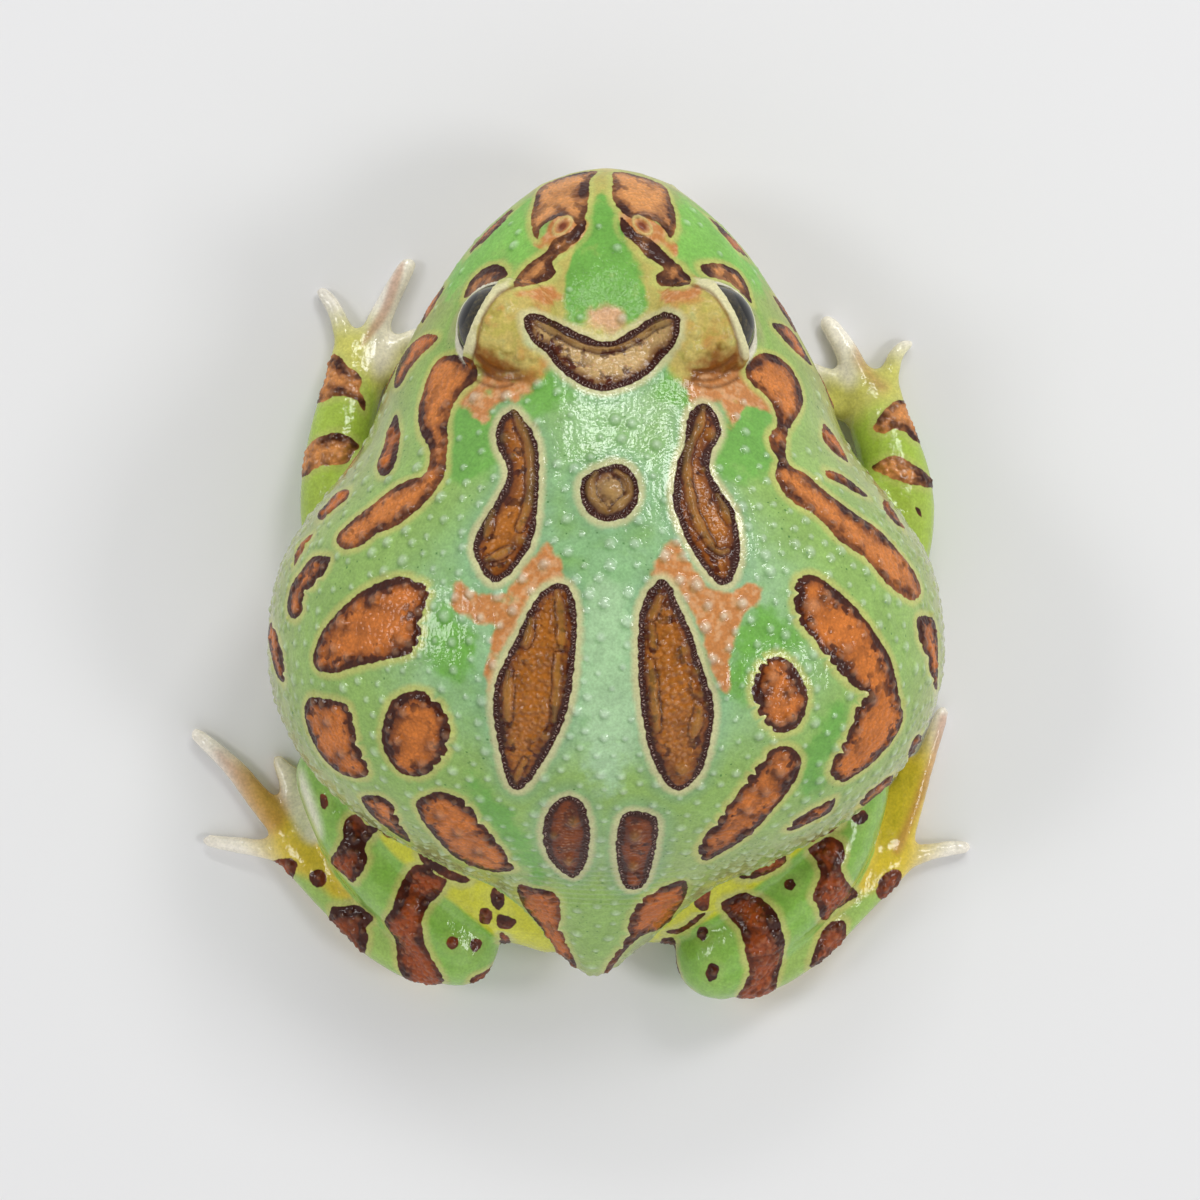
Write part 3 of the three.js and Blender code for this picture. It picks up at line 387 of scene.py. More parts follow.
# Thin creases darkened with painted shade between each upper lid's pale strip and the brow, in pixels.
creases = [
    [(515, 286), (501, 292), (491, 303), (483, 317), (479, 332), (475, 350), (471, 364)],
    [(692, 285), (708, 290), (718, 300), (728, 316), (735, 332), (740, 350), (743, 362)],
    [(473, 378), (484, 384), (498, 387), (512, 384)],
    [(738, 378), (726, 384), (712, 387), (698, 384)],
    [(478, 356), (488, 365), (502, 371), (518, 371)],
    [(476, 366), (488, 375), (503, 380), (520, 378)],
    [(734, 356), (724, 365), (710, 371), (694, 371)],
    [(736, 366), (724, 375), (708, 380), (692, 378)],
]
bumps = [
    (487, 320, 0.6, 0.3), (506, 349, 0.55, 0.28), (519, 357, 0.5, 0.3), (534, 357, 0.5, 0.3),
    (502, 308, 0.45, 0.25), (696, 333, 0.6, 0.3), (715, 317, 0.6, 0.28), (712, 352, 0.5, 0.3),
    (688, 357, 0.5, 0.3), (722, 345, 0.5, 0.25), (506, 439, 0.75, 0.45), (514, 457, 0.5, 0.35),
    (521, 540, 0.7, 0.30), (711, 436, 0.75, 0.42), (703, 470, 0.4, 0.25), (611, 490, 1.0, 0.30),
    (546, 735, 0.65, 0.45), (512, 740, 0.6, 0.35), (684, 650, 0.75, 0.45), (682, 767, 0.95, 0.5),
    (696, 671, 0.55, 0.35), (700, 694, 0.5, 0.3), (574, 820, 0.8, 0.5), (569, 859, 0.6, 0.42),
    (554, 834, 0.55, 0.3), (635, 834, 0.8, 0.48), (633, 864, 0.7, 0.42), (434, 744, 0.75, 0.42),
    (424, 762, 0.6, 0.36), (404, 712, 0.6, 0.3), (399, 740, 0.5, 0.3), (772, 676, 0.8, 0.45),
    (792, 716, 0.7, 0.4), (776, 722, 0.5, 0.32), (790, 690, 0.45, 0.3), (812, 606, 1.0, 0.4),
    (826, 596, 0.7, 0.3), (846, 648, 0.6, 0.3), (872, 700, 0.6, 0.3), (780, 770, 0.7, 0.4),
    (766, 790, 0.6, 0.35), (748, 808, 0.6, 0.3), (342, 622, 0.7, 0.35), (374, 600, 0.6, 0.3),
    (336, 648, 0.6, 0.3), (402, 640, 0.6, 0.3), (330, 720, 0.6, 0.3), (344, 752, 0.55, 0.3),
    (441, 812, 0.6, 0.3), (460, 830, 0.6, 0.3), (480, 848, 0.6, 0.3),
]


# Curves and distances, in the photograph's pixels.
def roundedCurve(points, steps, closed):
    points = np.array(points, float)
    if closed:
        knots = np.concatenate([points[-1:], points, points[:2]])
    else:
        knots = np.concatenate([points[:1], points, points[-1:]])
    made = []
    for i in range(len(knots) - 3):
        a, b, c, d = knots[i:i + 4]
        for t in np.arange(steps) / steps:
            made.append(0.5 * (2 * b + (c - a) * t + (2 * a - 5 * b + 4 * c - d) * t * t
                               + (3 * b - a - 3 * c + d) * t ** 3))
    if not closed:
        made.append(points[-1])
    return np.array(made)


def distanceToCurve(places, curve, closed):
    # returns the distance, the unit vector away from the curve and how far along it the nearest point lies
    starts = curve if closed else curve[:-1]
    ends = np.roll(curve, -1, axis=0) if closed else curve[1:]
    spans = ends - starts
    lengths = np.maximum(np.hypot(spans[:, 0], spans[:, 1]), 1e-9)
    before = np.concatenate([[0], np.cumsum(lengths)[:-1]])
    best = np.full(len(places), 1e9)
    away = np.zeros((len(places), 2))
    along = np.zeros(len(places))
    inside = np.zeros(len(places), bool)
    for start, end, span, length, run in zip(starts, ends, spans, lengths, before):
        offset = places - start
        t = np.clip((offset @ span) / length ** 2, 0, 1)
        gap = offset - t[:, None] * span
        distance = np.hypot(gap[:, 0], gap[:, 1])
        nearer = distance < best
        best[nearer] = distance[nearer]
        away[nearer] = gap[nearer]
        along[nearer] = run + t[nearer] * length
        if closed and start[1] != end[1]:
            crosses = (start[1] > places[:, 1]) != (end[1] > places[:, 1])
            inside ^= crosses & (places[:, 0] < start[0] + (places[:, 1] - start[1]) * span[0] / span[1])
    away /= np.maximum(best, 1e-9)[:, None]
    return np.where(inside, -best, best), away, along


def smooth(low, high, values):
    t = np.clip((values - low) / (high - low), 0, 1)
    return t * t * (3 - 2 * t)


# Mesh tools. All mesh work is in mm, and the finished mesh is turned to metres.
def solidArrays(obj):
    count = len(obj.data.vertices)
    points = np.empty(count * 3)
    obj.data.vertices.foreach_get("co", points)
    points = points.reshape(-1, 3) * 1000
    corners = np.empty(len(obj.data.loops), np.int64)
    obj.data.loops.foreach_get("vertex_index", corners)
    _, first, place = np.unique(np.round(points * 1e3).astype(np.int64), axis=0,
                                return_index=True, return_inverse=True)
    faces = place.reshape(-1)[corners].reshape(-1, 3)
    real = (faces[:, 0] != faces[:, 1]) & (faces[:, 1] != faces[:, 2]) & (faces[:, 2] != faces[:, 0])
    return points[first], faces[real]


def totals(index, values, count):
    return np.stack([np.bincount(index, values[:, k], count) for k in range(values.shape[1])], axis=1)


def pointNormals(points, faces):
    corners = points[faces]
    if faces.shape[1] == 3:
        across = np.cross(corners[:, 1] - corners[:, 0], corners[:, 2] - corners[:, 0])
    else:
        across = np.cross(corners[:, 2] - corners[:, 0], corners[:, 3] - corners[:, 1])
    summed = sum(totals(faces[:, k], across, len(points)) for k in range(faces.shape[1]))
    return summed / np.maximum(np.linalg.norm(summed, axis=1), 1e-12)[:, None]


def edgesOf(faces):
    # unique edges, and for each face the edges that follow its corners
    pairs = np.stack([faces, np.roll(faces, -1, axis=1)], axis=2).reshape(-1, 2)
    pairs.sort(axis=1)
    size = int(faces.max()) + 1
    keys, place = np.unique(pairs[:, 0] * size + pairs[:, 1], return_inverse=True)
    return np.stack([keys // size, keys % size], axis=1), place.reshape(faces.shape)


def largestPart(points, faces):
    edges, _ = edgesOf(faces)
    names = np.arange(len(points))
    while True:
        low = np.minimum(names[edges[:, 0]], names[edges[:, 1]])
        before = names.copy()
        np.minimum.at(names, edges[:, 0], low)
        np.minimum.at(names, edges[:, 1], low)
        names = names[names]
        if (names == before).all():
            break
    main = np.bincount(names).argmax()
    keep = names == main
    place = np.cumsum(keep) - 1
    return points[keep], place[faces[keep[faces[:, 0]]]]


def relaxed(points, edges, weights, rounds):
    count = len(points)
    valence = np.bincount(edges.reshape(-1), minlength=count)[:, None]
    share = weights[:, None]
    for _ in range(rounds):
        around = totals(edges[:, 0], points[edges[:, 1]], count)
        around = around + totals(edges[:, 1], points[edges[:, 0]], count)
        points = points + share * (around / valence - points)
    return points


def subdivided(points, faces, fields):
    # one round of Catmull-Clark subdivision; fields are carried along by plain averages
    edges, faceEdges = edgesOf(faces)
    count = len(points)
    centres = points[faces].mean(axis=1)
    perEdge = np.bincount(faceEdges.reshape(-1), minlength=len(edges))[:, None]
    nearCentres = sum(totals(faceEdges[:, k], centres, len(edges)) for k in range(4)) / perEdge
    middles = points[edges].mean(axis=1)
    valence = np.bincount(edges.reshape(-1), minlength=count)[:, None]
    perPoint = np.bincount(faces.reshape(-1), minlength=count)[:, None]
    meanCentre = sum(totals(faces[:, k], centres, count) for k in range(4)) / perPoint
    meanMiddle = (totals(edges[:, 0], middles, count) + totals(edges[:, 1], middles, count)) / valence
    moved = (meanCentre + 2 * meanMiddle + (valence - 3) * points) / valence
    allPoints = np.concatenate([moved, (middles + nearCentres) / 2, centres])
    middleId = count + faceEdges
    centreId = count + len(edges) + np.arange(len(faces))
    quads = [np.stack([faces[:, k], middleId[:, k], centreId, middleId[:, k - 1]], axis=1) for k in range(4)]
    carried = {name: np.concatenate([v, v[edges].mean(axis=1), v[faces].mean(axis=1)])
               for name, v in fields.items()}
    return allPoints, np.concatenate(quads), carried


def meshFrom(name, points, faces):
    made = bpy.data.meshes.new(name)
    sides = faces.shape[1]
    made.vertices.add(len(points))
    made.vertices.foreach_set("co", np.ascontiguousarray(points, np.float32).ravel())
    made.loops.add(faces.size)
    made.loops.foreach_set("vertex_index", np.ascontiguousarray(faces, np.int32).ravel())
    made.polygons.add(len(faces))
    made.polygons.foreach_set("loop_start", np.arange(len(faces), dtype=np.int32) * sides)
    made.update(calc_edges=True)
    return made


def cellDistance(points, size, seed):
    # how far in cells each point is from the border of its cell, for cells round a jittered grid of places
    scaled = points / size
    corner = np.floor(scaled).astype(int)
    low = corner.min(axis=0) - 1
    jitter = np.random.default_rng(seed).random((*(corner.max(axis=0) - low + 2), 3))
    around = [np.array(step) for step in np.ndindex(3, 3, 3)]
    closest, smallest = np.zeros(scaled.shape), np.full(len(scaled), np.inf)
    for step in around:
        cell = corner + step - 1
        offset = cell + jitter[tuple((cell - low).T)] - scaled
        distance = (offset ** 2).sum(axis=1)
        nearer = distance < smallest
        closest[nearer], smallest[nearer] = offset[nearer], distance[nearer]
    border = np.full(len(scaled), 0.5)
    for step in around:
        cell = corner + step - 1
        offset = cell + jitter[tuple((cell - low).T)] - scaled
        apart = offset - closest
        length = np.linalg.norm(apart, axis=1)
        other = length > 1e-6
        toBorder = ((closest + offset) / 2 * apart).sum(axis=1)[other] / length[other]
        border[other] = np.minimum(border[other], toBorder)
    return border


def nearestDistance(trees, points):
    found = np.empty((len(trees), len(points)))
    for row, tree in enumerate(trees):
        found[row] = [tree.find_nearest(p)[3] for p in points.tolist()]
    return found


# Skin: one closed surface over all the flesh solids. A user would change the fineness, and how far the folds
# between limbs and body are kept.
skin = {
    "proud": 0.2,              # mm that each solid swells before they are joined, which closes the gaps
    "voxel": 0.45,             # mm, before the subdivision that halves it
    "fineRounds": 5,           # rounds of smoothing everywhere
    "limbRounds": 12,          # more on the limbs
    "broadRounds": 95,         # more on the back, flanks and belly
    "foldWidth": 3.0,          # mm beside a fold that stay out of the broad smoothing
    "eyeCentre": (12.65, -34.45, 31.5),
    "eyeReach": 9.0,           # mm round the eye that keep their lids and brow
    "eyeTurnForward": 26.6,    # degrees that the eyes look forward of straight out
    # distance from the eye's centre before and after the lower lid is drawn in to a thin rim
    "lidBefore": [0.0, 5.4, 6.75, 8.6, 200.0],
    "lidAfter": [0.0, 5.16, 5.66, 8.6, 200.0],
    "upperLidShare": 0.35,     # how much of that the upper lid gets
    "lowerLidLift": 14.0,      # degrees that the lower lid is then turned up round the eye
    "upperLidLift": 4.0,       # and that the upper lid is turned back
}
eyePlaces = [np.array([side * skin["eyeCentre"][0], *skin["eyeCentre"][1:]]) for side in (1, -1)]
nostrilPlaces = [np.array([5.3, -47.0]), np.array([-4.4, -47.0])]
mouthLine = {
    "y": [-54.9, -54.0, -50.0, -46.0, -40.0, -33.0, -26.0, -22.0],
    "height": [15.2, 14.8, 14.2, 13.6, 13.0, 12.6, 11.7, 11.3],
}
bodyNodes = ["head", "torso"]
armNodes = [f"{part}_{side}" for side in ("left", "right") for part in ("upper_arm", "forearm", "hand")]
legNodes = [f"{part}_{side}" for side in ("left", "right") for part in ("thigh", "shank", "foot")]
fleshNodes = bodyNodes + armNodes + legNodes


def eyeOutward(side):
    turn = math.radians(skin["eyeTurnForward"])
    return np.array([side * math.cos(turn), -math.sin(turn), 0.0])


def aroundEye(points, side, place):
    # offset from the eye's centre, its outward part, and its angle over the horizontal about the line of
    # the corners
    offset = points - place
    outward = offset @ eyeOutward(side)
    return offset, outward, np.degrees(np.arctan2(offset[:, 2], outward))


def mouthHeight(y):
    return np.interp(y, mouthLine["y"], mouthLine["height"])


solids = {name: solidArrays(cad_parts[name]) for name in fleshNodes}
joinedPoints, joinedFaces, shift = [], [], 0
for name in fleshNodes:
    nodePoints, nodeFaces = solids[name]
    joinedPoints.append(nodePoints + skin["proud"] * pointNormals(nodePoints, nodeFaces))
    joinedFaces.append(nodeFaces + shift)
    shift += len(nodePoints)
roughMesh = meshFrom("rough", np.concatenate(joinedPoints), np.concatenate(joinedFaces))
roughObject = bpy.data.objects.new("rough", roughMesh)
bpy.context.scene.collection.objects.link(roughObject)
remesh = roughObject.modifiers.new("voxels", "REMESH")
remesh.mode = "VOXEL"
remesh.voxel_size = skin["voxel"]
remesh.adaptivity = 0.0
shown = roughObject.evaluated_get(bpy.context.evaluated_depsgraph_get()).to_mesh()
points = np.empty(len(shown.vertices) * 3)
shown.vertices.foreach_get("co", points)
points = points.reshape(-1, 3)
faces = np.empty(len(shown.loops), np.int64)
shown.loops.foreach_get("vertex_index", faces)
faces = faces.reshape(-1, 4)
bpy.data.objects.remove(roughObject)
points, faces = largestPart(points, faces)
report(f"joined surface: {len(faces)} faces")

groups = {
    "head": ["head"], "torso": ["torso"],
    "arm": ["upper_arm_left", "upper_arm_right", "forearm_left", "forearm_right"],
    "hand": ["hand_left", "hand_right"], "thigh": ["thigh_left", "thigh_right"],
    "shank": ["shank_left", "shank_right"], "foot": ["foot_left", "foot_right"],
}
trees = []
for group in groups.values():
    parts, rows, shift = [], [], 0
    for name in group:
        parts.append(solids[name][0])
        rows.append(solids[name][1] + shift)
        shift += len(solids[name][0])
    trees.append(BVHTree.FromPolygons(np.concatenate(parts).tolist(), np.concatenate(rows).tolist()))
reach = dict(zip(groups, nearestDistance(trees, points)))
toBody = np.minimum(reach["head"], reach["torso"])
toLimb = np.minimum.reduce([reach[name] for name in ("arm", "hand", "thigh", "shank", "foot")])
edges, _ = edgesOf(faces)

eyeGap = np.minimum(*[np.linalg.norm(points - place, axis=1) for place in eyePlaces])
nostrilGap = np.minimum(*[np.hypot(points[:, 0] - place[0], points[:, 1] - place[1])
                          + 3 * (points[:, 2] < 22) for place in nostrilPlaces])
mouthGap = np.abs(points[:, 2] - mouthHeight(points[:, 1])) + 9 * (points[:, 1] > -20)
onBody = toBody < toLimb
fold = smooth(0.4, skin["foldWidth"], np.abs(toBody - toLimb))
detail = smooth(7.4, skin["eyeReach"] + 1.5, eyeGap) * smooth(1.6, 3.0, nostrilGap)
detail = detail * smooth(0.7, 2.2, mouthGap)
points = relaxed(points, edges, 0.5 * (0.35 + 0.65 * smooth(6.8, 8.5, eyeGap)), skin["fineRounds"])
limbWeight = 0.6 * np.where(onBody, detail, 1.0) * (0.25 + 0.75 * fold)
points = relaxed(points, edges, limbWeight, skin["limbRounds"])
points = relaxed(points, edges, 0.85 * onBody * detail * fold, skin["broadRounds"])
for side, place in zip((1, -1), eyePlaces):
    offset = points - place
    gap = np.linalg.norm(offset, axis=1)
    lower = skin["upperLidShare"] + (1 - skin["upperLidShare"]) * smooth(2.4, -0.4, offset[:, 2])
    drawn = np.interp(gap, skin["lidBefore"], skin["lidAfter"])
    points = place + offset * (1 + lower * (drawn / gap - 1))[:, None]
    offset, outward, rise = aroundEye(points, side, place)
    onLid = smooth(8.2, 6.2, gap)
    lifted = rise + skin["lowerLidLift"] * smooth(-100, -35, rise) * smooth(4, -20, rise) * onLid
    lifted += skin["upperLidLift"] * smooth(15, 45, rise) * smooth(140, 105, rise) * onLid
    reachOut = np.hypot(outward, offset[:, 2])
    points[:, 2] = place[2] + reachOut * np.sin(np.radians(lifted))
    points += (reachOut * np.cos(np.radians(lifted)) - outward)[:, None] * eyeOutward(side)
points, faces, fields = subdivided(points, faces, reach)
report(f"skin surface: {len(faces)} faces")

# Fields on the skin, in mm, that the material reads.
normals = pointNormals(points, faces)
up = normals[:, 2]
pixels = toPixels(points)
localScale = pixelScale * (view["cameraHeight"] - points[:, 2])   # mm for each pixel at this height
toBody = np.minimum(fields["head"], fields["torso"])
toArm = np.minimum(fields["arm"], fields["hand"])
toLeg = np.minimum.reduce([fields[name] for name in ("thigh", "shank", "foot")])
onLeg = toLeg < np.minimum(toBody, toArm)
onArm = toArm < np.minimum(toBody, toLeg)
onBody = ~(onLeg | onArm)
farAway = 8.0
mark = np.full(len(points), farAway)
tone = np.zeros(len(points))
border = np.zeros(len(points))
beads = np.zeros(len(points))
halo = np.zeros(len(points))
notch = np.zeros(len(points))


def nearPixels(curve, margin):
    low, high = curve.min(axis=0) - margin, curve.max(axis=0) + margin
    return ((pixels > low) & (pixels < high)).all(axis=1)


def addBlotch(kind, outline, where):
    curve = roundedCurve(outline, 6, True)
    found = np.flatnonzero(nearPixels(curve, 28) & where)
    if len(found) == 0:
        return
    distance, away, along = distanceToCurve(pixels[found], curve, True)
    n = normals[found]
    slope = (-n[:, 0] * away[:, 0] + n[:, 1] * away[:, 1]) / np.maximum(n[:, 2], 0.05)
    stretch = np.minimum(np.sqrt(1 + slope ** 2), 3.5)
    distance = distance * localScale[found] * stretch
    # a blotch that runs over the edge closes below it
    distance = np.maximum(distance, -(n[:, 2] - 0.03) * 6.0)
    if kind in ("flank", "rump"):
        run = along * localScale[found]
        inward = away[:, 0] * np.sign(distance) * np.sign(view["pictureSide"] / 2 - pixels[found, 0])
        coming = smooth(-0.5, 0.5, np.sin(0.9 * run + len(outline)))
        scalloped = smooth(0.1, 0.7, inward) * (0.3 + 0.7 * coming)
        run = run + 0.45 * np.sin(1.1 * run)
        gap = (1 - np.abs(np.cos(np.pi * run / 2.0))) ** 2 * scalloped
        distance = distance + 1.0 * gap * np.exp(-((distance + 0.1) / 0.9) ** 2)
        notch[found] = np.maximum(notch[found], gap * np.exp(-((distance - 0.1) / 0.4) ** 2))
    nearer = distance < mark[found]
    found = found[nearer]
    mark[found] = distance[nearer]
    tone[found] = blotchKinds[kind]["tone"]
    border[found] = blotchKinds[kind]["border"]
    halo[found] = blotchKinds[kind]["halo"]
    beads[found] = along[nearer] * localScale[found]


def limbPixels(outline):
    plan = np.array([[x, y, limbPlanHeight] for x, y in outline])
    return toPixels(plan)


aboveMouth = (points[:, 1] > -20) | (points[:, 2] > mouthHeight(points[:, 1]) + 0.2)
for kind, outline in bodyBlotches.values():
    addBlotch(kind, outline, onBody & aboveMouth & (up > -0.12))
for name, (kind, outline) in limbBlotches.items():
    sameSide = (points[:, 0] > 0) == (outline[0][0] > 0)
    limbHere = onArm if name.startswith("arm") else onLeg
    addBlotch(kind, limbPixels(outline), limbHere & (up > -0.3) & sameSide)
for side, spots in flankSpots.items():
    for y, z, halfLength, halfHeight in spots:
        near = np.flatnonzero(onBody & (points[:, 0] * side > 0) & (np.abs(points[:, 1] - y) < halfLength + 4)
                              & (up < 0.35) & (up > -0.75))
        across = (points[near, 1] - y) / halfLength
        rise = (points[near, 2] - z) / (halfHeight * np.sqrt(np.maximum(1 - up[near] ** 2, 0.1)))
        turn = np.arctan2(rise, across)
        wobble = 1 + 0.14 * np.sin(3 * turn + y) + 0.08 * np.sin(7 * turn + z)
        distance = (np.hypot(across, rise) / wobble - 1) * min(halfLength, halfHeight)
        nearer = distance < mark[near]
        near = near[nearer]
        mark[near] = distance[nearer]
        tone[near] = blotchKinds["flank"]["tone"]
        border[near] = 0.45
        halo[near] = 0.7
        beads[near] = 0
report("markings")

snoutGap = np.minimum(*[np.linalg.norm(points[:, :2] - place, axis=1) for place in nostrilPlaces])
plain = np.where(onBody & (points[:, 2] > 20), 1 - smooth(2.4, 3.6, snoutGap), 0)
halo *= 1 - plain
patchNames = ("mist", "jaw", "tan", "lush", "peach", "ochre", "rustAndShade", "orange", "cream", "vent",
              "blush", "pale", "verge")     # the last three lie on the limbs
patches = {name: np.zeros(len(points)) for name in patchNames}
for outlines, where in ((groundPatches, onBody & (up > -0.2)), (limbPatches, ~onBody & (up > -0.3))):
    for name, soft, outline in outlines:
        curve = roundedCurve(outline, 5, True)
        found = np.flatnonzero(nearPixels(curve, 30) & where)
        distance, _, _ = distanceToCurve(pixels[found], curve, True)
        value = 1 - smooth(-soft, soft, distance * localScale[found])
        if name == "pale":
            value = value * smooth(0.1, 0.6, up[found])
        patches[name][found] = np.maximum(patches[name][found], value)
report("ground patches")

# Relief, in mm along the normal.
eyeGap = np.minimum(*[np.linalg.norm(points - place, axis=1) for place in eyePlaces])
relief = {
    "moat": 0.10,              # how deep the dark border of a blotch lies
    "cushion": 0.10,           # how far a blotch swells
    "wartCount": 680,
    "wartRadius": (0.28, 0.56),
    "wartHeight": (0.18, 0.40),
    "flankWartCount": 520,     # smaller ones where the back turns down
    "granuleCount": 900,       # in the long blotches
    "granuleSize": 0.62,       # of the fine granules that fill every marking
    "granuleHeight": 0.11,
    "dotCount": 4200,          # dark green pores, one point of the mesh each
    "edgeBumpCount": 300,      # along the inside of the flank blotches
    "bandBumpCount": 320,      # in the dark bands of the legs
    "wrinklePitch": 0.62,
    "mouthDepth": 0.4,
    "seed": 7,
}
height = np.zeros(len(points))
ridge = np.zeros(len(points))
wart = np.zeros(len(points))
# painted shade: dark lines in the grooves beside the ridges and dark spots beside the bumps, away from the
# light
ridgeShade = np.zeros(len(points))
# painted shade beside the warts, on the side away from the light
shade = np.zeros(len(points))
topOfBody = onBody & (up > 0.1)
height += relief["cushion"] * smooth(-0.4, -1.8, mark) * border
height -= relief["moat"] * np.exp(-((mark + 0.35) / 0.3) ** 2) * border
for line, halfWidth, tall in ridges:
    curve = roundedCurve(line, 5, False)
    found = np.flatnonzero(nearPixels(curve, 14) & topOfBody)
    distance, _, along = distanceToCurve(pixels[found], curve, False)
    fromEnd = np.minimum(along, along.max() - along) * localScale[found]
    distance = distance * localScale[found] + 0.3 * halfWidth * (1 - smooth(0.0, 1.6, fromEnd))
    distance += 0.12 * halfWidth * np.sin(2.1 * along * localScale[found])
    distance = np.maximum(distance, 0)
    lift = np.clip(1 - (distance / (1.25 * halfWidth)) ** 2, 0, 1) ** 1.3
    ridge[found] = np.maximum(ridge[found], lift)
    # painted shade in the groove along each side of the ridge
    beside = np.exp(-((distance - 1.3 * halfWidth) / 0.16) ** 2)
    ridgeShade[found] = np.maximum(ridgeShade[found], beside)
    height[found] += 1.15 * tall * lift - 0.12 * beside
for x, y, radius, tall in bumps:
    found = np.flatnonzero(nearPixels(np.array([[x, y], [x, y]], float), 16) & topOfBody)
    distance = np.hypot(pixels[found, 0] - x, pixels[found, 1] - y) * localScale[found]
    lift = np.clip(1 - (distance / (1.5 * radius)) ** 2, 0, 1) ** 2
    # painted shade: a dark spot set off to the side of the bump away from the light
    shadeGap = np.hypot(pixels[found, 0] - x + 4, pixels[found, 1] - y - 3) * localScale[found]
    ridgeShade[found] = np.maximum(ridgeShade[found], np.exp(-(shadeGap / (1.25 * radius)) ** 2) * (1 - lift))
    ridge[found] = np.maximum(ridge[found], 0.8 * lift)
    height[found] += tall * lift - 0.06 * np.exp(-((distance - 1.6 * radius) / 0.22) ** 2)
granule = np.full(len(points), 0.5)
inside = np.flatnonzero(mark < 0.3)
granule[inside] = cellDistance(points[inside], relief["granuleSize"], relief["seed"])
height += relief["granuleHeight"] * smooth(0, 0.3, granule) * smooth(0.1, -0.2, mark)
dot = np.zeros(len(points))
dot[np.random.default_rng(relief["seed"]).choice(len(points), relief["dotCount"], replace=False)] = 1.0
# painted shade: darkness along each crease
crease = np.zeros(len(points))
for line in creases:
    curve = roundedCurve(line, 5, False)
    found = np.flatnonzero(nearPixels(curve, 8) & topOfBody)
    distance, _, _ = distanceToCurve(pixels[found], curve, False)
    crease[found] = np.maximum(crease[found], np.exp(-(distance * localScale[found] / 0.24) ** 2))
height -= 0.14 * crease
report("ridges")

random = np.random.default_rng(relief["seed"])
slab = np.argsort(points[:, 0])
slabX = points[slab, 0]


def scatter(chance, count, apart):
    # seeded places on the skin that keep their distance from each other
    open_ = np.flatnonzero(chance > 0)
    share = chance[open_] / chance[open_].sum()
    tried = random.choice(open_, min(len(open_), count * 9), replace=False, p=share)
    taken = []
    for index in tried:
        if not taken or (np.linalg.norm(points[taken] - points[index], axis=1) > apart).all():
            taken.append(index)
        if len(taken) == count:
            break
    return taken


def raiseBumps(places, radii, heights, layer, strength, foot):
    # foot is the layer that takes a painted shade crescent on the side of each bump away from the light
    for index in places:
        big = random.random() ** 2
        radius = radii[0] + big * (radii[1] - radii[0])
        tall = heights[0] + big * (heights[1] - heights[0])
        tall *= 0.45 + 0.55 * min(max(up[index] / 0.6, 0), 1)
        if patches["orange"][index] > 0.4:
            radius, tall = radius * 1.25, tall * 1.3
        first, last = np.searchsorted(slabX, points[index, 0] + np.array([-2.2, 2.2]) * radius)
        near = slab[first:last]
        distance = np.linalg.norm(points[near] - points[index], axis=1)
        near, distance = near[distance < 2.2 * radius], distance[distance < 2.2 * radius]
        lift = np.clip(1 - (distance / (1.6 * radius)) ** 2, 0, 1) ** 1.35
        layer[near] = np.maximum(layer[near], strength * lift)
        height[near] += tall * lift
        # painted shade: a dark crescent on the side of the bump away from the light
        middle = points[index] + np.array([0.45, 0.6, 0]) * radius
        dark = np.exp(-(np.linalg.norm(points[near] - middle, axis=1) / radius) ** 2) * (1 - lift) ** 2
        foot[near] = np.maximum(foot[near], dark)


back = smooth(-24, -8, points[:, 1])
wartChance = np.where(onBody & (up > -0.35) & (mark > 0.95) & (points[:, 1] < 44), 0.06 + back, 0)
wartChance *= np.where((patches["ochre"] > 0.3) | (patches["cream"] > 0.2), 0.3, 1)
wartChance *= np.where(eyeGap < 8, 0, 1)
warts = scatter(wartChance, relief["wartCount"], 1.9)
raiseBumps(warts, relief["wartRadius"], relief["wartHeight"], wart, 1.0, shade)
flankChance = np.where(onBody & (up > -0.4) & (up < 0.5) & (mark > 0.5) & (points[:, 1] > -14), 1.0, 0)
raiseBumps(scatter(flankChance, relief["flankWartCount"], 1.0), (0.2, 0.4), (0.16, 0.34), wart, 0.6, shade)
longBlotch = onBody & (np.abs(tone - 0.3) < 0.05) & (mark < -0.9) & (ridge < 0.1) & (points[:, 1] > -6)
longBlotch = np.where(longBlotch, 1.0, 0)
raiseBumps(scatter(longBlotch, relief["granuleCount"], 0.8), (0.28, 0.42), (0.14, 0.28), ridge, 0.5, ridgeShade)
flankEdge = np.where(onBody & (tone > 0.4) & (mark < -0.5) & (mark > -1.5) & (points[:, 1] > -26), 1.0, 0)
raiseBumps(scatter(flankEdge, relief["edgeBumpCount"], 1.5), (0.34, 0.56), (0.24, 0.44), ridge, 0.7, ridgeShade)
legBand = np.where((onLeg | onArm) & (mark < -0.5), 1.0, 0)
raiseBumps(scatter(legBand, relief["bandBumpCount"], 0.8), (0.26, 0.46), (0.2, 0.36), ridge, 0.5, ridgeShade)
report("warts and granules")

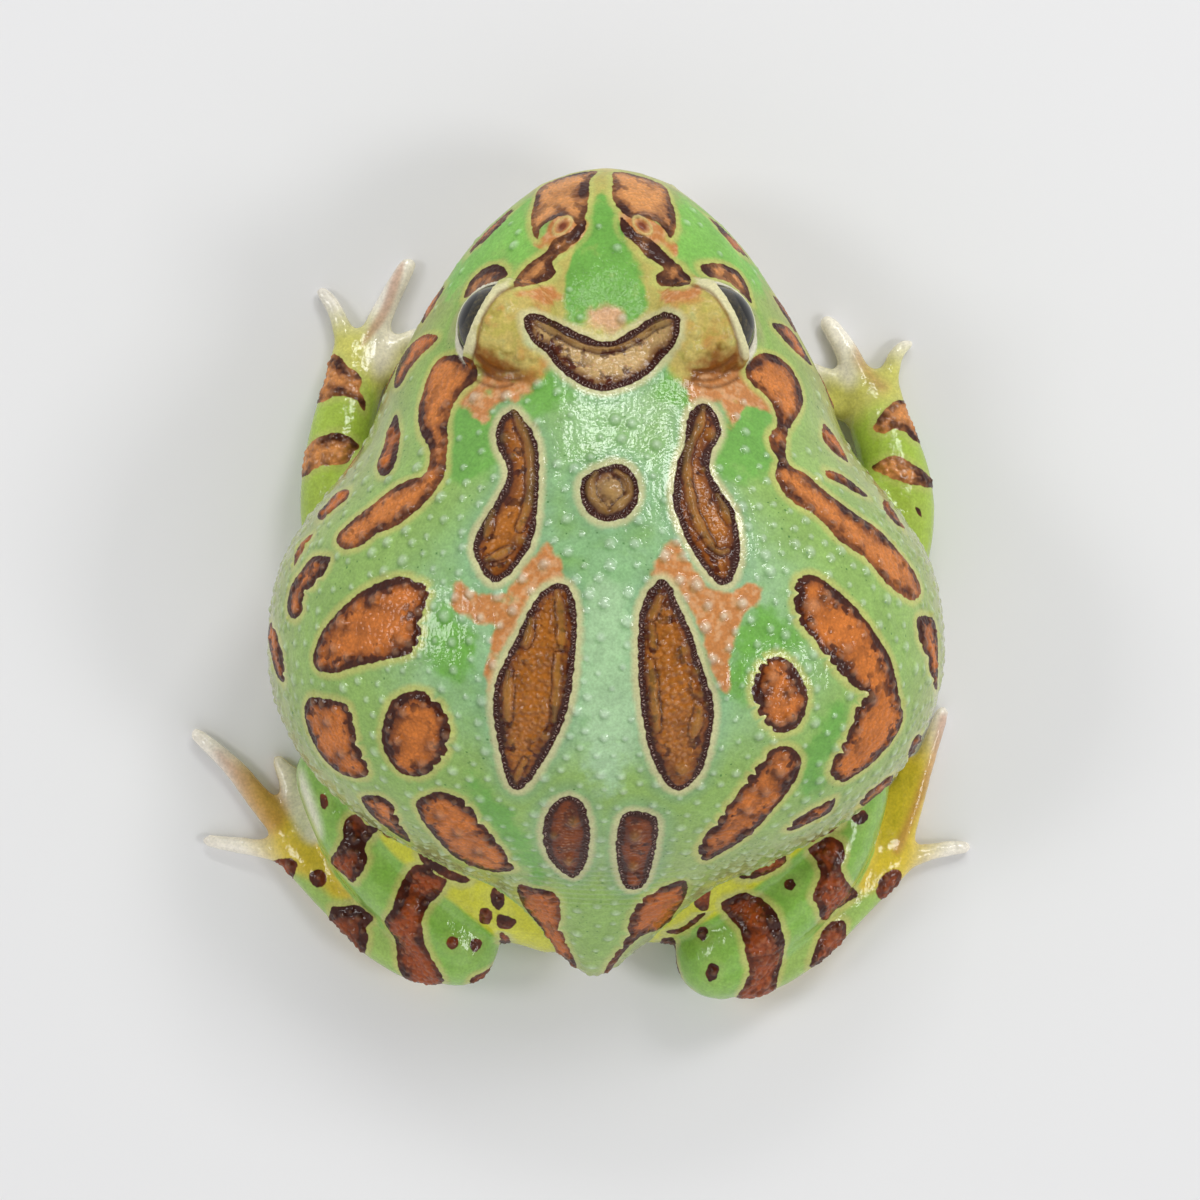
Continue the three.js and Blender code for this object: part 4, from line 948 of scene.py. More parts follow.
mouthGap = np.abs(points[:, 2] - mouthHeight(points[:, 1])) + 9 * (points[:, 1] > -21.5) + 9 * ~onBody
mouth = np.exp(-(mouthGap / 0.42) ** 2)
height -= relief["mouthDepth"] * mouth
lip = np.exp(-((points[:, 2] - mouthHeight(points[:, 1]) - 1.4) / 1.3) ** 2) * (points[:, 1] < -22) * onBody
lidRim = np.zeros(len(points))
for side, place in zip((1, -1), eyePlaces):
    offset, outward, rise = aroundEye(points, side, place)
    gap = np.linalg.norm(offset, axis=1)
    rimHere = smooth(-19, -15, rise) * smooth(40, 25, rise) * smooth(6.3, 5.95, gap) + smooth(5.5, 5.3, gap)
    lidRim = np.maximum(lidRim, np.clip(rimHere, 0, 1))
pit = np.zeros(len(points))
rim = np.zeros(len(points))
for place in nostrilPlaces:
    aslant = math.copysign(math.sqrt(0.5), place[0])
    offset = points[:, :2] - place
    gap = np.hypot((offset[:, 0] * aslant + offset[:, 1] * math.sqrt(0.5)) / 1.0,
                   (offset[:, 0] * math.sqrt(0.5) - offset[:, 1] * aslant) / 0.58)
    near = (points[:, 2] > 22) & onBody
    pit = np.maximum(pit, np.where(near, np.exp(-gap ** 2), 0))
    rim = np.maximum(rim, np.where(near, np.exp(-((gap - 1.35) / 0.22) ** 2), 0))
height += 0.22 * rim - 0.35 * pit
rump = onBody * smooth(29.5, 31.5, points[:, 1]) * (1 - smooth(35, 37, points[:, 1]))
rump = rump * (np.abs(points[:, 0]) < 9)
bowed = points[:, 1] + 0.04 * points[:, 0] ** 2 * 0.2
height += 0.05 * rump * np.sin(2 * np.pi * bowed / relief["wrinklePitch"])
points = points + normals * height[:, None]

loBox, hiBox = loadedBounds
margin = 0.02
low = np.array(loBox) * 1000 + margin
high = np.array(hiBox) * 1000 - margin
low[2] = 0.0
points = np.clip(points, low, high)

belly = onBody * smooth(-0.25, -0.75, up)
flank = onBody * smooth(0.72, 0.12, up)
limb = (~onBody).astype(float)
aside = onBody * smooth(0.98, 0.80, up)
hand = onArm * smooth(-3.2, 0.8, fields["arm"] - fields["hand"])
thigh = onLeg * smooth(1.3, 2.3, np.minimum(fields["shank"], fields["foot"]) - fields["thigh"])
foot = onLeg * smooth(-0.6, 0.6, np.minimum(fields["shank"], fields["thigh"]) - fields["foot"])
dry = onBody * smooth(-24, -31, points[:, 1]) * smooth(-0.6, 0.2, mark)
tip = onLeg * smooth(4.5, 11.0, np.minimum(fields["shank"], 20)) * foot
tip = tip + onArm * smooth(3.0, 9.0, fields["arm"])

skinMesh = meshFrom("skin", points / 1000, faces)
storedFields = {
    "mark": mark, "tone": tone, "border": border, "beads": beads, "ridge": ridge, "wart": wart,
    "mouth": mouth,
    "lip": lip, "lidRim": lidRim, "pit": pit, "rim": rim, "rump": rump, "belly": belly, "flank": flank,
    "limb": limb, "hand": hand, "halo": halo, "notch": notch, "arm": onArm.astype(float), "side": aside,
    "thigh": thigh, "granule": granule, "dot": dot, "foot": foot, "tip": tip, "ridgeShade": ridgeShade,
    "shade": shade, "dry": dry, "crease": crease, **patches,
}
for name, values in storedFields.items():
    layer = skinMesh.attributes.new(name, "FLOAT", "POINT")
    layer.data.foreach_set("value", np.ascontiguousarray(values, np.float32))
skinMesh.polygons.foreach_set("use_smooth", np.ones(len(faces), bool))
skinObject = bpy.data.objects.new("skin", skinMesh)
bpy.context.scene.collection.objects.link(skinObject)
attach(skinObject, "root")
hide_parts(*fleshNodes)
report("skin finished")


# Materials.
def linear(colour):
    # an sRGB hex value as the linear colour that the shader takes
    parts = [int(colour[i:i + 2], 16) / 255 for i in (1, 3, 5)]
    return tuple(p / 12.92 if p <= 0.04045 else ((p + 0.055) / 1.055) ** 2.4 for p in parts) + (1.0,)


def node(tree, kind, inputs, output=0, **settings):
    made = tree.nodes.new(kind)
    for name, value in settings.items():
        setattr(made, name, value)
    for key, value in inputs.items():
        if isinstance(value, bpy.types.NodeSocket):
            tree.links.new(value, made.inputs[key])
        else:
            made.inputs[key].default_value = value
    return made.outputs[output] if len(made.outputs) else made


# Frog skin: living, wet amphibian skin. A thin film of mucus over matt granular skin gives small sharp
# highlights on every wart; the skin under it is soft and matt, and so thin that its colour sits right at
# the surface.
skinLook = {
    "mint": "#88B57C",             # ground colour of the back
    "mintPale": "#9BC092",
    "grassGreen": "#80B05A",       # of the head and rear
    "lushGreen": "#70AA4A",        # clear bright patches
    "jaw": "#84BE58",              # along the sides of the snout
    "blueGreen": "#7FA880",        # close to the blotches of the back
    "sideGreen": "#90B45E",        # where the back turns down
    "dotGreen": "#3C7330",
    "flankGreen": "#A2A966",
    "flankCream": "#D8CE9A",
    "belly": "#E9E0C6",
    "bellySmudge": "#B9AE8C",
    "orange": "#C8844A",
    "ochre": "#C2AE62",
    "browOrange": "#C68844",
    "browOlive": "#AEA650",
    # orange-brown behind the brows, darkened partly as painted shade
    "rustAndShade": "#88501A",
    "tan": "#BCB160",
    "peach": "#D2A478",
    "cream": "#DAD4A6",
    "vent": "#B49A68",
    "haloCream": "#CFC794",        # pale line round a blotch of the back
    "haloYellow": "#BEC06A",       # and of the head, flanks and legs
    "notch": "#E2DB98",            # spots in the notches of a border
    "edgeDark": "#3C1507",
    "rimBrown": "#602A10",
    "saddleTan": "#C8A66C",        # blotch colours, from the head saddle to the legs
    "lowerBrown": "#8C420C",
    "centreBrown": "#B06A22",
    "flankRust": "#D0742A",
    "snoutOrange": "#E09A58",
    "legRed": "#A04A1A",
    "ridgeOlive": "#987438",
    "limbGreen": "#80B046",
    "limbFresh": "#92BE58",
    "armGreen": "#A8BE40",
    "thighYellow": "#D2CE30",
    "footTan": "#E2C034",
    "handYellow": "#CEC866",
    "tipBeige": "#F4EEE2",
    "blush": "#B4704C",
    "pale": "#F0EAD6",
    "verge": "#92BC5E",
    # painted shade in the creases
    "crease": "#6E4420",
    "lidRim": "#DCD8C2",
    "rim": "#D2BF7C",              # round each nostril
    # painted shade in each nostril pit
    "pit": "#7E4430",
    # painted shade in the line between the lips
    "mouth": "#4A3A2A",            # the line between the lips
    # painted highlight along the middle of the back
    "mist": "#A6CA9A",             # paler strip along the middle of the back
    # painted highlight on the tops of the warts
    "wartGlint": "#DCECD8",
    # painted shade beside each wart
    "wartShade": "#68A056",         # multiplies the ground colour
    # pink of the bump and granule tops: partly their own colour, partly painted highlight
    "crestPinkSheen": "#BC8C68",
    # painted highlight on the beads
    "beadHighlight": "#C4A698",         # tops of the beads in a dark border
}
skinMaterial = bpy.data.materials.new("frog_skin")
skinMaterial.use_nodes = True
tree = skinMaterial.node_tree
tree.nodes.clear()
field = {name: node(tree, "ShaderNodeAttribute", {}, output="Fac", attribute_name=name)
         for name in storedFields}
place = node(tree, "ShaderNodeTexCoord", {}, output="Object")

# patches of 11 mm, mottling of 4 mm, smudges of 1.6 mm, an uneven edge of 0.9 mm and a grain of 0.3 mm
wideNoise, patchNoise, smudgeNoise, edgeNoise, fineNoise = (
    node(tree, "ShaderNodeTexNoise", {"Vector": place, "Scale": scale, "Detail": detail})
    for scale, detail in ((90.0, 2.0), (260.0, 3.0), (620.0, 2.0), (1100.0, 1.0), (3200.0, 1.0)))

# Ground colour of the body
ground = node(tree, "ShaderNodeMapRange", {"Value": wideNoise, "From Min": 0.4, "From Max": 0.65})
ground = node(tree, "ShaderNodeMix", {0: ground, 6: linear(skinLook["mint"]),
                                      7: linear(skinLook["mintPale"])}, output=2, data_type="RGBA")
mottle = node(tree, "ShaderNodeMapRange", {"Value": patchNoise, "From Min": 0.48, "From Max": 0.68,
                                           "To Max": 0.55})
ground = node(tree, "ShaderNodeMix", {0: mottle, 6: ground, 7: linear(skinLook["grassGreen"])},
              output=2, data_type="RGBA")
ground = node(tree, "ShaderNodeMix", {0: field["side"], 6: ground, 7: linear(skinLook["sideGreen"])},
              output=2, data_type="RGBA")
ground = node(tree, "ShaderNodeMix", {0: field["flank"], 6: ground, 7: linear(skinLook["flankGreen"])},
              output=2, data_type="RGBA")
beside = node(tree, "ShaderNodeMapRange", {"Value": field["mark"], "From Min": 1.0, "From Max": 2.8,
                                           "To Min": 0.5, "To Max": 0.0})
inMiddle = node(tree, "ShaderNodeMapRange", {"Value": field["tone"], "From Min": 0.35, "From Max": 0.45,
                                             "To Min": 1.0, "To Max": 0.0})
beside = node(tree, "ShaderNodeMath", {0: beside, 1: inMiddle}, operation="MULTIPLY")
ground = node(tree, "ShaderNodeMix", {0: beside, 6: ground, 7: linear(skinLook["blueGreen"])},
              output=2, data_type="RGBA")
dots = node(tree, "ShaderNodeMapRange", {"Value": field["dot"], "From Min": 0.2, "From Max": 0.6})
dotShare = node(tree, "ShaderNodeMapRange", {"Value": patchNoise, "From Min": 0.42, "From Max": 0.54,
                                             "To Max": 0.75})
dots = node(tree, "ShaderNodeMath", {0: dots, 1: dotShare}, operation="MULTIPLY")
ground = node(tree, "ShaderNodeMix", {0: dots, 6: ground, 7: linear(skinLook["dotGreen"])},
              output=2, data_type="RGBA")
swayed = node(tree, "ShaderNodeMath", {0: patchNoise, 1: -0.5}, operation="ADD")
frayed = node(tree, "ShaderNodeMath", {0: smudgeNoise, 1: -0.5}, operation="ADD")
flecked = {
    "ochre": ((patchNoise, 0.46, 0.62, 0.8, "browOrange"), (smudgeNoise, 0.5, 0.64, 0.7, "browOlive")),
    "orange": ((edgeNoise, 0.46, 0.62, 0.65, "peach"),),
}
for name in patchNames[:10]:
    swing, low, high = (1.8, 0.2, 0.8) if name in ("orange", "tan", "cream", "vent") else (1.2, 0.1, 0.9)
    ragged = node(tree, "ShaderNodeMath", {0: swayed, 1: swing, 2: field[name]}, operation="MULTIPLY_ADD")
    ragged = node(tree, "ShaderNodeMath", {0: frayed, 1: 1.1, 2: ragged}, operation="MULTIPLY_ADD")
    ragged = node(tree, "ShaderNodeMapRange", {"Value": ragged, "From Min": low, "From Max": high},
                  interpolation_type="SMOOTHSTEP")
    present = node(tree, "ShaderNodeMapRange", {"Value": field[name], "From Min": 0.02, "From Max": 0.2})
    ragged = node(tree, "ShaderNodeMath", {0: ragged, 1: present}, operation="MULTIPLY")
    patchColour = linear(skinLook["lushGreen" if name == "lush" else name])
    for part, low, high, most, second in flecked.get(name, ()):
        share = node(tree, "ShaderNodeMapRange", {"Value": part, "From Min": low, "From Max": high,
                                                  "To Max": most})
        patchColour = node(tree, "ShaderNodeMix", {0: share, 6: patchColour, 7: linear(skinLook[second])},
                           output=2, data_type="RGBA")
    ground = node(tree, "ShaderNodeMix", {0: ragged, 6: ground, 7: patchColour}, output=2, data_type="RGBA")
bellyMottle = node(tree, "ShaderNodeMapRange", {"Value": patchNoise, "From Min": 0.5, "From Max": 0.62,
                                                "To Min": 1.0, "To Max": 0.8})
bellyAmount = node(tree, "ShaderNodeMath", {0: field["belly"], 1: bellyMottle}, operation="MULTIPLY")
bellySmudge = node(tree, "ShaderNodeMapRange", {"Value": smudgeNoise, "From Min": 0.48, "From Max": 0.62,
                                                "To Max": 0.45})
bellyColour = node(tree, "ShaderNodeMix", {0: bellySmudge, 6: linear(skinLook["belly"]),
                                           7: linear(skinLook["bellySmudge"])}, output=2, data_type="RGBA")
ground = node(tree, "ShaderNodeMix", {0: bellyAmount, 6: ground, 7: bellyColour}, output=2, data_type="RGBA")
lipAmount = node(tree, "ShaderNodeMath", {0: field["lip"], 1: 0.6}, operation="MULTIPLY")
ground = node(tree, "ShaderNodeMix", {0: lipAmount, 6: ground, 7: linear(skinLook["flankCream"])},
              output=2, data_type="RGBA")

# Ground colour of the limbs: green shanks and forearms, yellow thighs, feet and hands, and beige tips
limbMix = node(tree, "ShaderNodeMapRange", {"Value": patchNoise, "From Min": 0.4, "From Max": 0.62})
limbGround = node(tree, "ShaderNodeMix", {0: limbMix, 6: linear(skinLook["limbGreen"]),
                                          7: linear(skinLook["limbFresh"])}, output=2, data_type="RGBA")
for name, colourName, most in (("arm", "armGreen", 0.8), ("thigh", "thighYellow", 0.9),
                               ("foot", "footTan", 0.9), ("hand", "handYellow", 0.9),
                               ("verge", "verge", 0.9), ("tip", "tipBeige", 0.95),
                               ("pale", "pale", 0.85), ("blush", "blush", 0.55)):
    share = node(tree, "ShaderNodeMath", {0: field[name], 1: most}, operation="MULTIPLY")
    limbGround = node(tree, "ShaderNodeMix", {0: share, 6: limbGround, 7: linear(skinLook[colourName])},
                      output=2, data_type="RGBA")
ground = node(tree, "ShaderNodeMix", {0: field["limb"], 6: ground, 7: limbGround}, output=2, data_type="RGBA")
# painted highlight: the tops of the warts are paled towards a whitish green
wartHighlight = node(tree, "ShaderNodeMath", {0: field["wart"], 1: 0.62}, operation="MULTIPLY")
glintedGround = node(tree, "ShaderNodeMix", {0: 0.6, 6: ground, 7: linear(skinLook["wartGlint"])},
             output=2, data_type="RGBA")
ground = node(tree, "ShaderNodeMix", {0: wartHighlight, 6: ground, 7: glintedGround}, output=2, data_type="RGBA")
# painted shade: a darker crescent beside each wart, on the side away from the light
shadeAmount = node(tree, "ShaderNodeMath", {0: field["shade"], 1: 0.85}, operation="MULTIPLY")
shadedGround = node(tree, "ShaderNodeMix", {0: 1.0, 6: ground, 7: linear(skinLook["wartShade"])},
              output=2, data_type="RGBA", blend_type="MULTIPLY")
ground = node(tree, "ShaderNodeMix", {0: shadeAmount, 6: ground, 7: shadedGround}, output=2, data_type="RGBA")

# Blotches: brown inside with granules, a dark beaded line along the edge and a pale line outside
wobble = node(tree, "ShaderNodeMath", {0: edgeNoise, 1: 0.5, 2: -0.25}, operation="MULTIPLY_ADD")
edge = node(tree, "ShaderNodeMath", {0: field["mark"], 1: wobble}, operation="ADD")
browns = node(tree, "ShaderNodeValToRGB", {"Fac": field["tone"]}, output="Color")
ramp = browns.node.color_ramp
ramp.elements[0].color = linear(skinLook["saddleTan"])
ramp.elements[1].color = linear(skinLook["legRed"])
for position, name in ((0.2, "lowerBrown"), (0.3, "centreBrown"), (0.5, "flankRust"), (0.7, "snoutOrange"),
                       (0.8, "flankRust")):
    ramp.elements.new(position).color = linear(skinLook[name])
cracks = node(tree, "ShaderNodeMapRange", {"Value": field["granule"], "From Min": 0.0, "From Max": 0.2,
                                           "To Min": 0.22, "To Max": 0.0})
mottled = node(tree, "ShaderNodeMapRange", {"Value": patchNoise, "From Min": 0.5, "From Max": 0.7,
                                            "To Max": 0.4})
browns = node(tree, "ShaderNodeMix", {0: mottled, 6: browns, 7: linear(skinLook["rimBrown"])},
              output=2, data_type="RGBA")
smudge = node(tree, "ShaderNodeMapRange", {"Value": smudgeNoise, "From Min": 0.55, "From Max": 0.61})
nearBorder = node(tree, "ShaderNodeMapRange", {"Value": field["mark"], "From Min": -3.4, "From Max": -1.4,
                                               "To Min": 0.0, "To Max": 0.85})
smudge = node(tree, "ShaderNodeMath", {0: smudge, 1: nearBorder}, operation="MULTIPLY")
smudgeShare = node(tree, "ShaderNodeMath", {0: field["border"], 1: 0.25}, operation="ADD")
smudge = node(tree, "ShaderNodeMath", {0: smudge, 1: smudgeShare}, operation="MULTIPLY")
browns = node(tree, "ShaderNodeMix", {0: smudge, 6: browns, 7: linear(skinLook["edgeDark"])},
              output=2, data_type="RGBA")
brown = node(tree, "ShaderNodeMix", {0: cracks, 6: browns, 7: linear(skinLook["edgeDark"])},
             output=2, data_type="RGBA")
deepInside = node(tree, "ShaderNodeMapRange", {"Value": field["mark"], "From Min": -2.2, "From Max": -1.3,
                                               "To Min": 0.5, "To Max": 0.0})
# paler pink granule tops: partly their own colour, partly painted highlight
granuleCrestSheen = node(tree, "ShaderNodeMapRange", {"Value": field["granule"], "From Min": 0.14, "From Max": 0.34})
granuleCrestSheen = node(tree, "ShaderNodeMath", {0: granuleCrestSheen, 1: deepInside}, operation="MULTIPLY")
granuleCrestSheen = node(tree, "ShaderNodeMath", {0: granuleCrestSheen, 1: inMiddle}, operation="MULTIPLY")
brown = node(tree, "ShaderNodeMix", {0: granuleCrestSheen, 6: brown, 7: linear(skinLook["crestPinkSheen"])},
             output=2, data_type="RGBA")
# painted shade beside the ridges and bumps
ridgeShadeAmount = node(tree, "ShaderNodeMath", {0: field["ridgeShade"], 1: 0.8}, operation="MULTIPLY")
brown = node(tree, "ShaderNodeMix", {0: ridgeShadeAmount, 6: brown, 7: linear(skinLook["edgeDark"])},
             output=2, data_type="RGBA")
# the dark border is even round the blotches of the back and broken elsewhere
uneven = node(tree, "ShaderNodeMapRange", {"Value": field["tone"], "From Min": 0.35, "From Max": 0.45,
                                           "To Min": 1.5, "To Max": 3.0})
unevenEdge = node(tree, "ShaderNodeMath", {0: patchNoise, 1: -0.46}, operation="ADD")
unevenEdge = node(tree, "ShaderNodeMath", {0: unevenEdge, 1: uneven, 2: edge}, operation="MULTIPLY_ADD")
darkPatch = node(tree, "ShaderNodeMapRange", {"Value": patchNoise, "From Min": 0.4, "From Max": 0.6})
darkShare = node(tree, "ShaderNodeMix", {0: field["border"], 2: darkPatch, 3: 1.0})
for low, high, most, name in ((-2.0, -0.9, 0.7, "rimBrown"), (-1.05, -0.65, 1.0, "edgeDark")):
    darkIn = node(tree, "ShaderNodeMapRange", {"Value": unevenEdge, "From Min": low, "From Max": high,
                                               "To Max": most}, interpolation_type="SMOOTHSTEP")
    darkIn = node(tree, "ShaderNodeMath", {0: darkIn, 1: darkShare}, operation="MULTIPLY")
    brown = node(tree, "ShaderNodeMix", {0: darkIn, 6: brown, 7: linear(skinLook[name])},
                 output=2, data_type="RGBA")
# paler ridge and bump tops: partly their own colour, partly painted highlight
ridgeCrestSheen = node(tree, "ShaderNodeMapRange", {"Value": field["ridge"], "From Min": 0.2, "From Max": 0.9,
                                             "To Max": 0.5})
ridgeColour = node(tree, "ShaderNodeMix", {0: inMiddle, 6: linear(skinLook["crestPinkSheen"]),
                                           7: linear(skinLook["ridgeOlive"])}, output=2, data_type="RGBA")
brown = node(tree, "ShaderNodeMix", {0: ridgeCrestSheen, 6: brown, 7: ridgeColour}, output=2, data_type="RGBA")
haloColour = node(tree, "ShaderNodeMix", {0: inMiddle, 6: linear(skinLook["haloYellow"]),
                                          7: linear(skinLook["haloCream"])}, output=2, data_type="RGBA")
haloAmount = node(tree, "ShaderNodeMapRange", {"Value": edge, "From Min": 0.25, "From Max": 1.2,
                                               "To Min": 0.95, "To Max": 0.0},
                  interpolation_type="SMOOTHSTEP")
haloAmount = node(tree, "ShaderNodeMath", {0: haloAmount, 1: field["halo"]}, operation="MULTIPLY")
ground = node(tree, "ShaderNodeMix", {0: haloAmount, 6: ground, 7: haloColour}, output=2, data_type="RGBA")
ground = node(tree, "ShaderNodeMix", {0: field["notch"], 6: ground, 7: linear(skinLook["notch"])},
              output=2, data_type="RGBA")
inBlotch = node(tree, "ShaderNodeMapRange", {"Value": edge, "From Min": -0.06, "From Max": 0.06,
                                             "To Min": 1.0, "To Max": 0.0})
colour = node(tree, "ShaderNodeMix", {0: inBlotch, 6: ground, 7: brown}, output=2, data_type="RGBA")

# Lids, nostrils and mouth
# crease, pit and mouth paint shade: darkness in the creases, the nostril pits and the line between the lips
for name, low, high, most in (("crease", 0.0, 1.0, 0.7), ("lidRim", 0.0, 1.0, 1.0), ("rim", 0.0, 1.0, 0.85),
                              ("pit", 0.3, 0.8, 1.0), ("mouth", 0.0, 1.0, 0.75)):
    share = node(tree, "ShaderNodeMapRange", {"Value": field[name], "From Min": low, "From Max": high,
                                              "To Max": most})
    colour = node(tree, "ShaderNodeMix", {0: share, 6: colour, 7: linear(skinLook[name])},
                  output=2, data_type="RGBA")
grainTint = node(tree, "ShaderNodeMapRange", {"Value": fineNoise, "From Min": 0.3, "From Max": 0.7,
                                              "To Min": 0.9, "To Max": 1.1})
cloud = node(tree, "ShaderNodeMapRange", {"Value": edgeNoise, "From Min": 0.3, "From Max": 0.7,
                                          "To Min": 0.93, "To Max": 1.07})
patchTint = node(tree, "ShaderNodeMapRange", {"Value": patchNoise, "From Min": 0.35, "From Max": 0.65,
                                              "To Min": 1.06, "To Max": 0.94})
grainTint = node(tree, "ShaderNodeMath", {0: grainTint, 1: cloud}, operation="MULTIPLY")
grainTint = node(tree, "ShaderNodeMath", {0: grainTint, 1: patchTint}, operation="MULTIPLY")
colour = node(tree, "ShaderNodeHueSaturation", {"Color": colour, "Value": grainTint})

# Fine relief: granules in the blotches, leathery grain everywhere, a string of beads along each dark line
beadWave = node(tree, "ShaderNodeMath", {0: edgeNoise, 1: 1.4, 2: field["beads"]}, operation="MULTIPLY_ADD")
beadWave = node(tree, "ShaderNodeMath", {0: beadWave, 1: 2 * math.pi / 0.5}, operation="MULTIPLY")
beadWave = node(tree, "ShaderNodeMath", {0: beadWave}, operation="SINE")
beadBand = node(tree, "ShaderNodeMapRange", {"Value": field["mark"], "From Min": -0.8, "From Max": -0.35})
beadOut = node(tree, "ShaderNodeMapRange", {"Value": field["mark"], "From Min": -0.3, "From Max": 0.05,
                                            "To Min": 1.0, "To Max": 0.0})
beadBand = node(tree, "ShaderNodeMath", {0: beadBand, 1: beadOut}, operation="MULTIPLY")
beadBand = node(tree, "ShaderNodeMath", {0: beadBand, 1: beadWave}, operation="MULTIPLY")
beadBand = node(tree, "ShaderNodeMath", {0: beadBand, 1: inMiddle}, operation="MULTIPLY")
# painted highlight: pale tops of the beads along the dark border
beadGlintShare = node(tree, "ShaderNodeMapRange", {"Value": beadBand, "From Min": 0.55, "From Max": 0.95,
                                            "To Max": 0.6})
colour = node(tree, "ShaderNodeMix", {0: beadGlintShare, 6: colour, 7: linear(skinLook["beadHighlight"])},
              output=2, data_type="RGBA")
streakPlace = node(tree, "ShaderNodeVectorMath", {0: place, 1: (900.0, 200.0, 400.0)}, operation="MULTIPLY")
streaks = node(tree, "ShaderNodeTexNoise", {"Vector": streakPlace, "Scale": 1.0, "Detail": 1.0})  # 1 by 5 mm
filmRelief = node(tree, "ShaderNodeMath", {0: beadBand, 1: 0.6}, operation="MULTIPLY")
for part, share in ((patchNoise, 0.5), (fineNoise, 0.2), (edgeNoise, 0.3), (streaks, 0.9)):
    filmRelief = node(tree, "ShaderNodeMath", {0: part, 1: share, 2: filmRelief}, operation="MULTIPLY_ADD")
wetness = node(tree, "ShaderNodeMath", {0: field["dry"], 1: -0.65, 2: 0.88}, operation="MULTIPLY_ADD")
blotchWet = node(tree, "ShaderNodeMath", {0: inBlotch, 1: -0.4, 2: 1.0}, operation="MULTIPLY_ADD")
wetness = node(tree, "ShaderNodeMath", {0: wetness, 1: blotchWet}, operation="MULTIPLY")
film = node(tree, "ShaderNodeBump", {"Height": filmRelief, "Strength": 0.7, "Distance": 0.0002},
            output="Normal")
gloss = node(tree, "ShaderNodeMapRange", {"Value": patchNoise, "From Min": 0.3, "From Max": 0.7,
                                          "To Min": 0.42, "To Max": 0.56})
shader = node(tree, "ShaderNodeBsdfPrincipled", {
    "Base Color": colour, "Roughness": gloss, "Normal": film, "IOR": 1.33, "Specular IOR Level": 0.15,
    "Coat Weight": wetness, "Coat Roughness": 0.06, "Coat IOR": 1.5, "Coat Normal": film,
}, output="BSDF", distribution="GGX")
node(tree, "ShaderNodeOutputMaterial", {"Surface": shader})
skinMesh.materials.append(skinMaterial)
report("skin material")

# Eyes: a ball in each socket with a bulge over the iris.
eye = {
    "radius": 5.15,              # mm
    "bulge": 0.18,               # mm that the cornea stands out
    "irisRadius": 4.1,
    "pupilHalfWidth": 2.5,
    "pupilHalfHeight": 1.6,
    "turnUp": 20.0,
    "rings": 64,
    "segments": 96,
}
eyeLook = {
    "iris": "#35332E", "irisFleck": "#5E5438", "pupil": "#040404", "outer": "#171614",
}
eyeMaterial = bpy.data.materials.new("frog_eye")
eyeMaterial.use_nodes = True
tree = eyeMaterial.node_tree
tree.nodes.clear()
place = node(tree, "ShaderNodeTexCoord", {}, output="Object")
# Iris and pupil lie round the eye's own +Z, pupil wide along X
flat = node(tree, "ShaderNodeVectorMath", {0: place, 1: (1000.0, 1000.0, 0.0)}, operation="MULTIPLY")
fromMiddle = node(tree, "ShaderNodeVectorMath", {0: flat}, output="Value", operation="LENGTH")
pupilSize = (1 / eye["pupilHalfWidth"], 1 / eye["pupilHalfHeight"], 0)
pupilPlace = node(tree, "ShaderNodeVectorMath", {0: flat, 1: pupilSize}, operation="MULTIPLY")
pupilGap = node(tree, "ShaderNodeVectorMath", {0: pupilPlace}, output="Value", operation="LENGTH")
flecks = node(tree, "ShaderNodeTexNoise", {"Vector": place, "Scale": 1500.0, "Detail": 4.0,
                                           "Roughness": 0.65})
fleckAmount = node(tree, "ShaderNodeMapRange", {"Value": flecks, "From Min": 0.45, "From Max": 0.7,
                                                "To Max": 0.8})
irisColour = node(tree, "ShaderNodeMix", {0: fleckAmount, 6: linear(eyeLook["iris"]),
                                          7: linear(eyeLook["irisFleck"])}, output=2, data_type="RGBA")
outside = node(tree, "ShaderNodeMapRange", {"Value": fromMiddle, "From Min": eye["irisRadius"] - 0.4,
                                            "From Max": eye["irisRadius"]})
irisColour = node(tree, "ShaderNodeMix", {0: outside, 6: irisColour, 7: linear(eyeLook["outer"])},
                  output=2, data_type="RGBA")
pupilAmount = node(tree, "ShaderNodeMapRange", {"Value": pupilGap, "From Min": 0.94, "From Max": 1.04,
                                                "To Min": 1.0, "To Max": 0.0})
irisColour = node(tree, "ShaderNodeMix", {0: pupilAmount, 6: irisColour, 7: linear(eyeLook["pupil"])},
                  output=2, data_type="RGBA")
shader = node(tree, "ShaderNodeBsdfPrincipled", {
    "Base Color": irisColour, "Roughness": 0.08, "IOR": 1.36,
}, output="BSDF")
node(tree, "ShaderNodeOutputMaterial", {"Surface": shader})

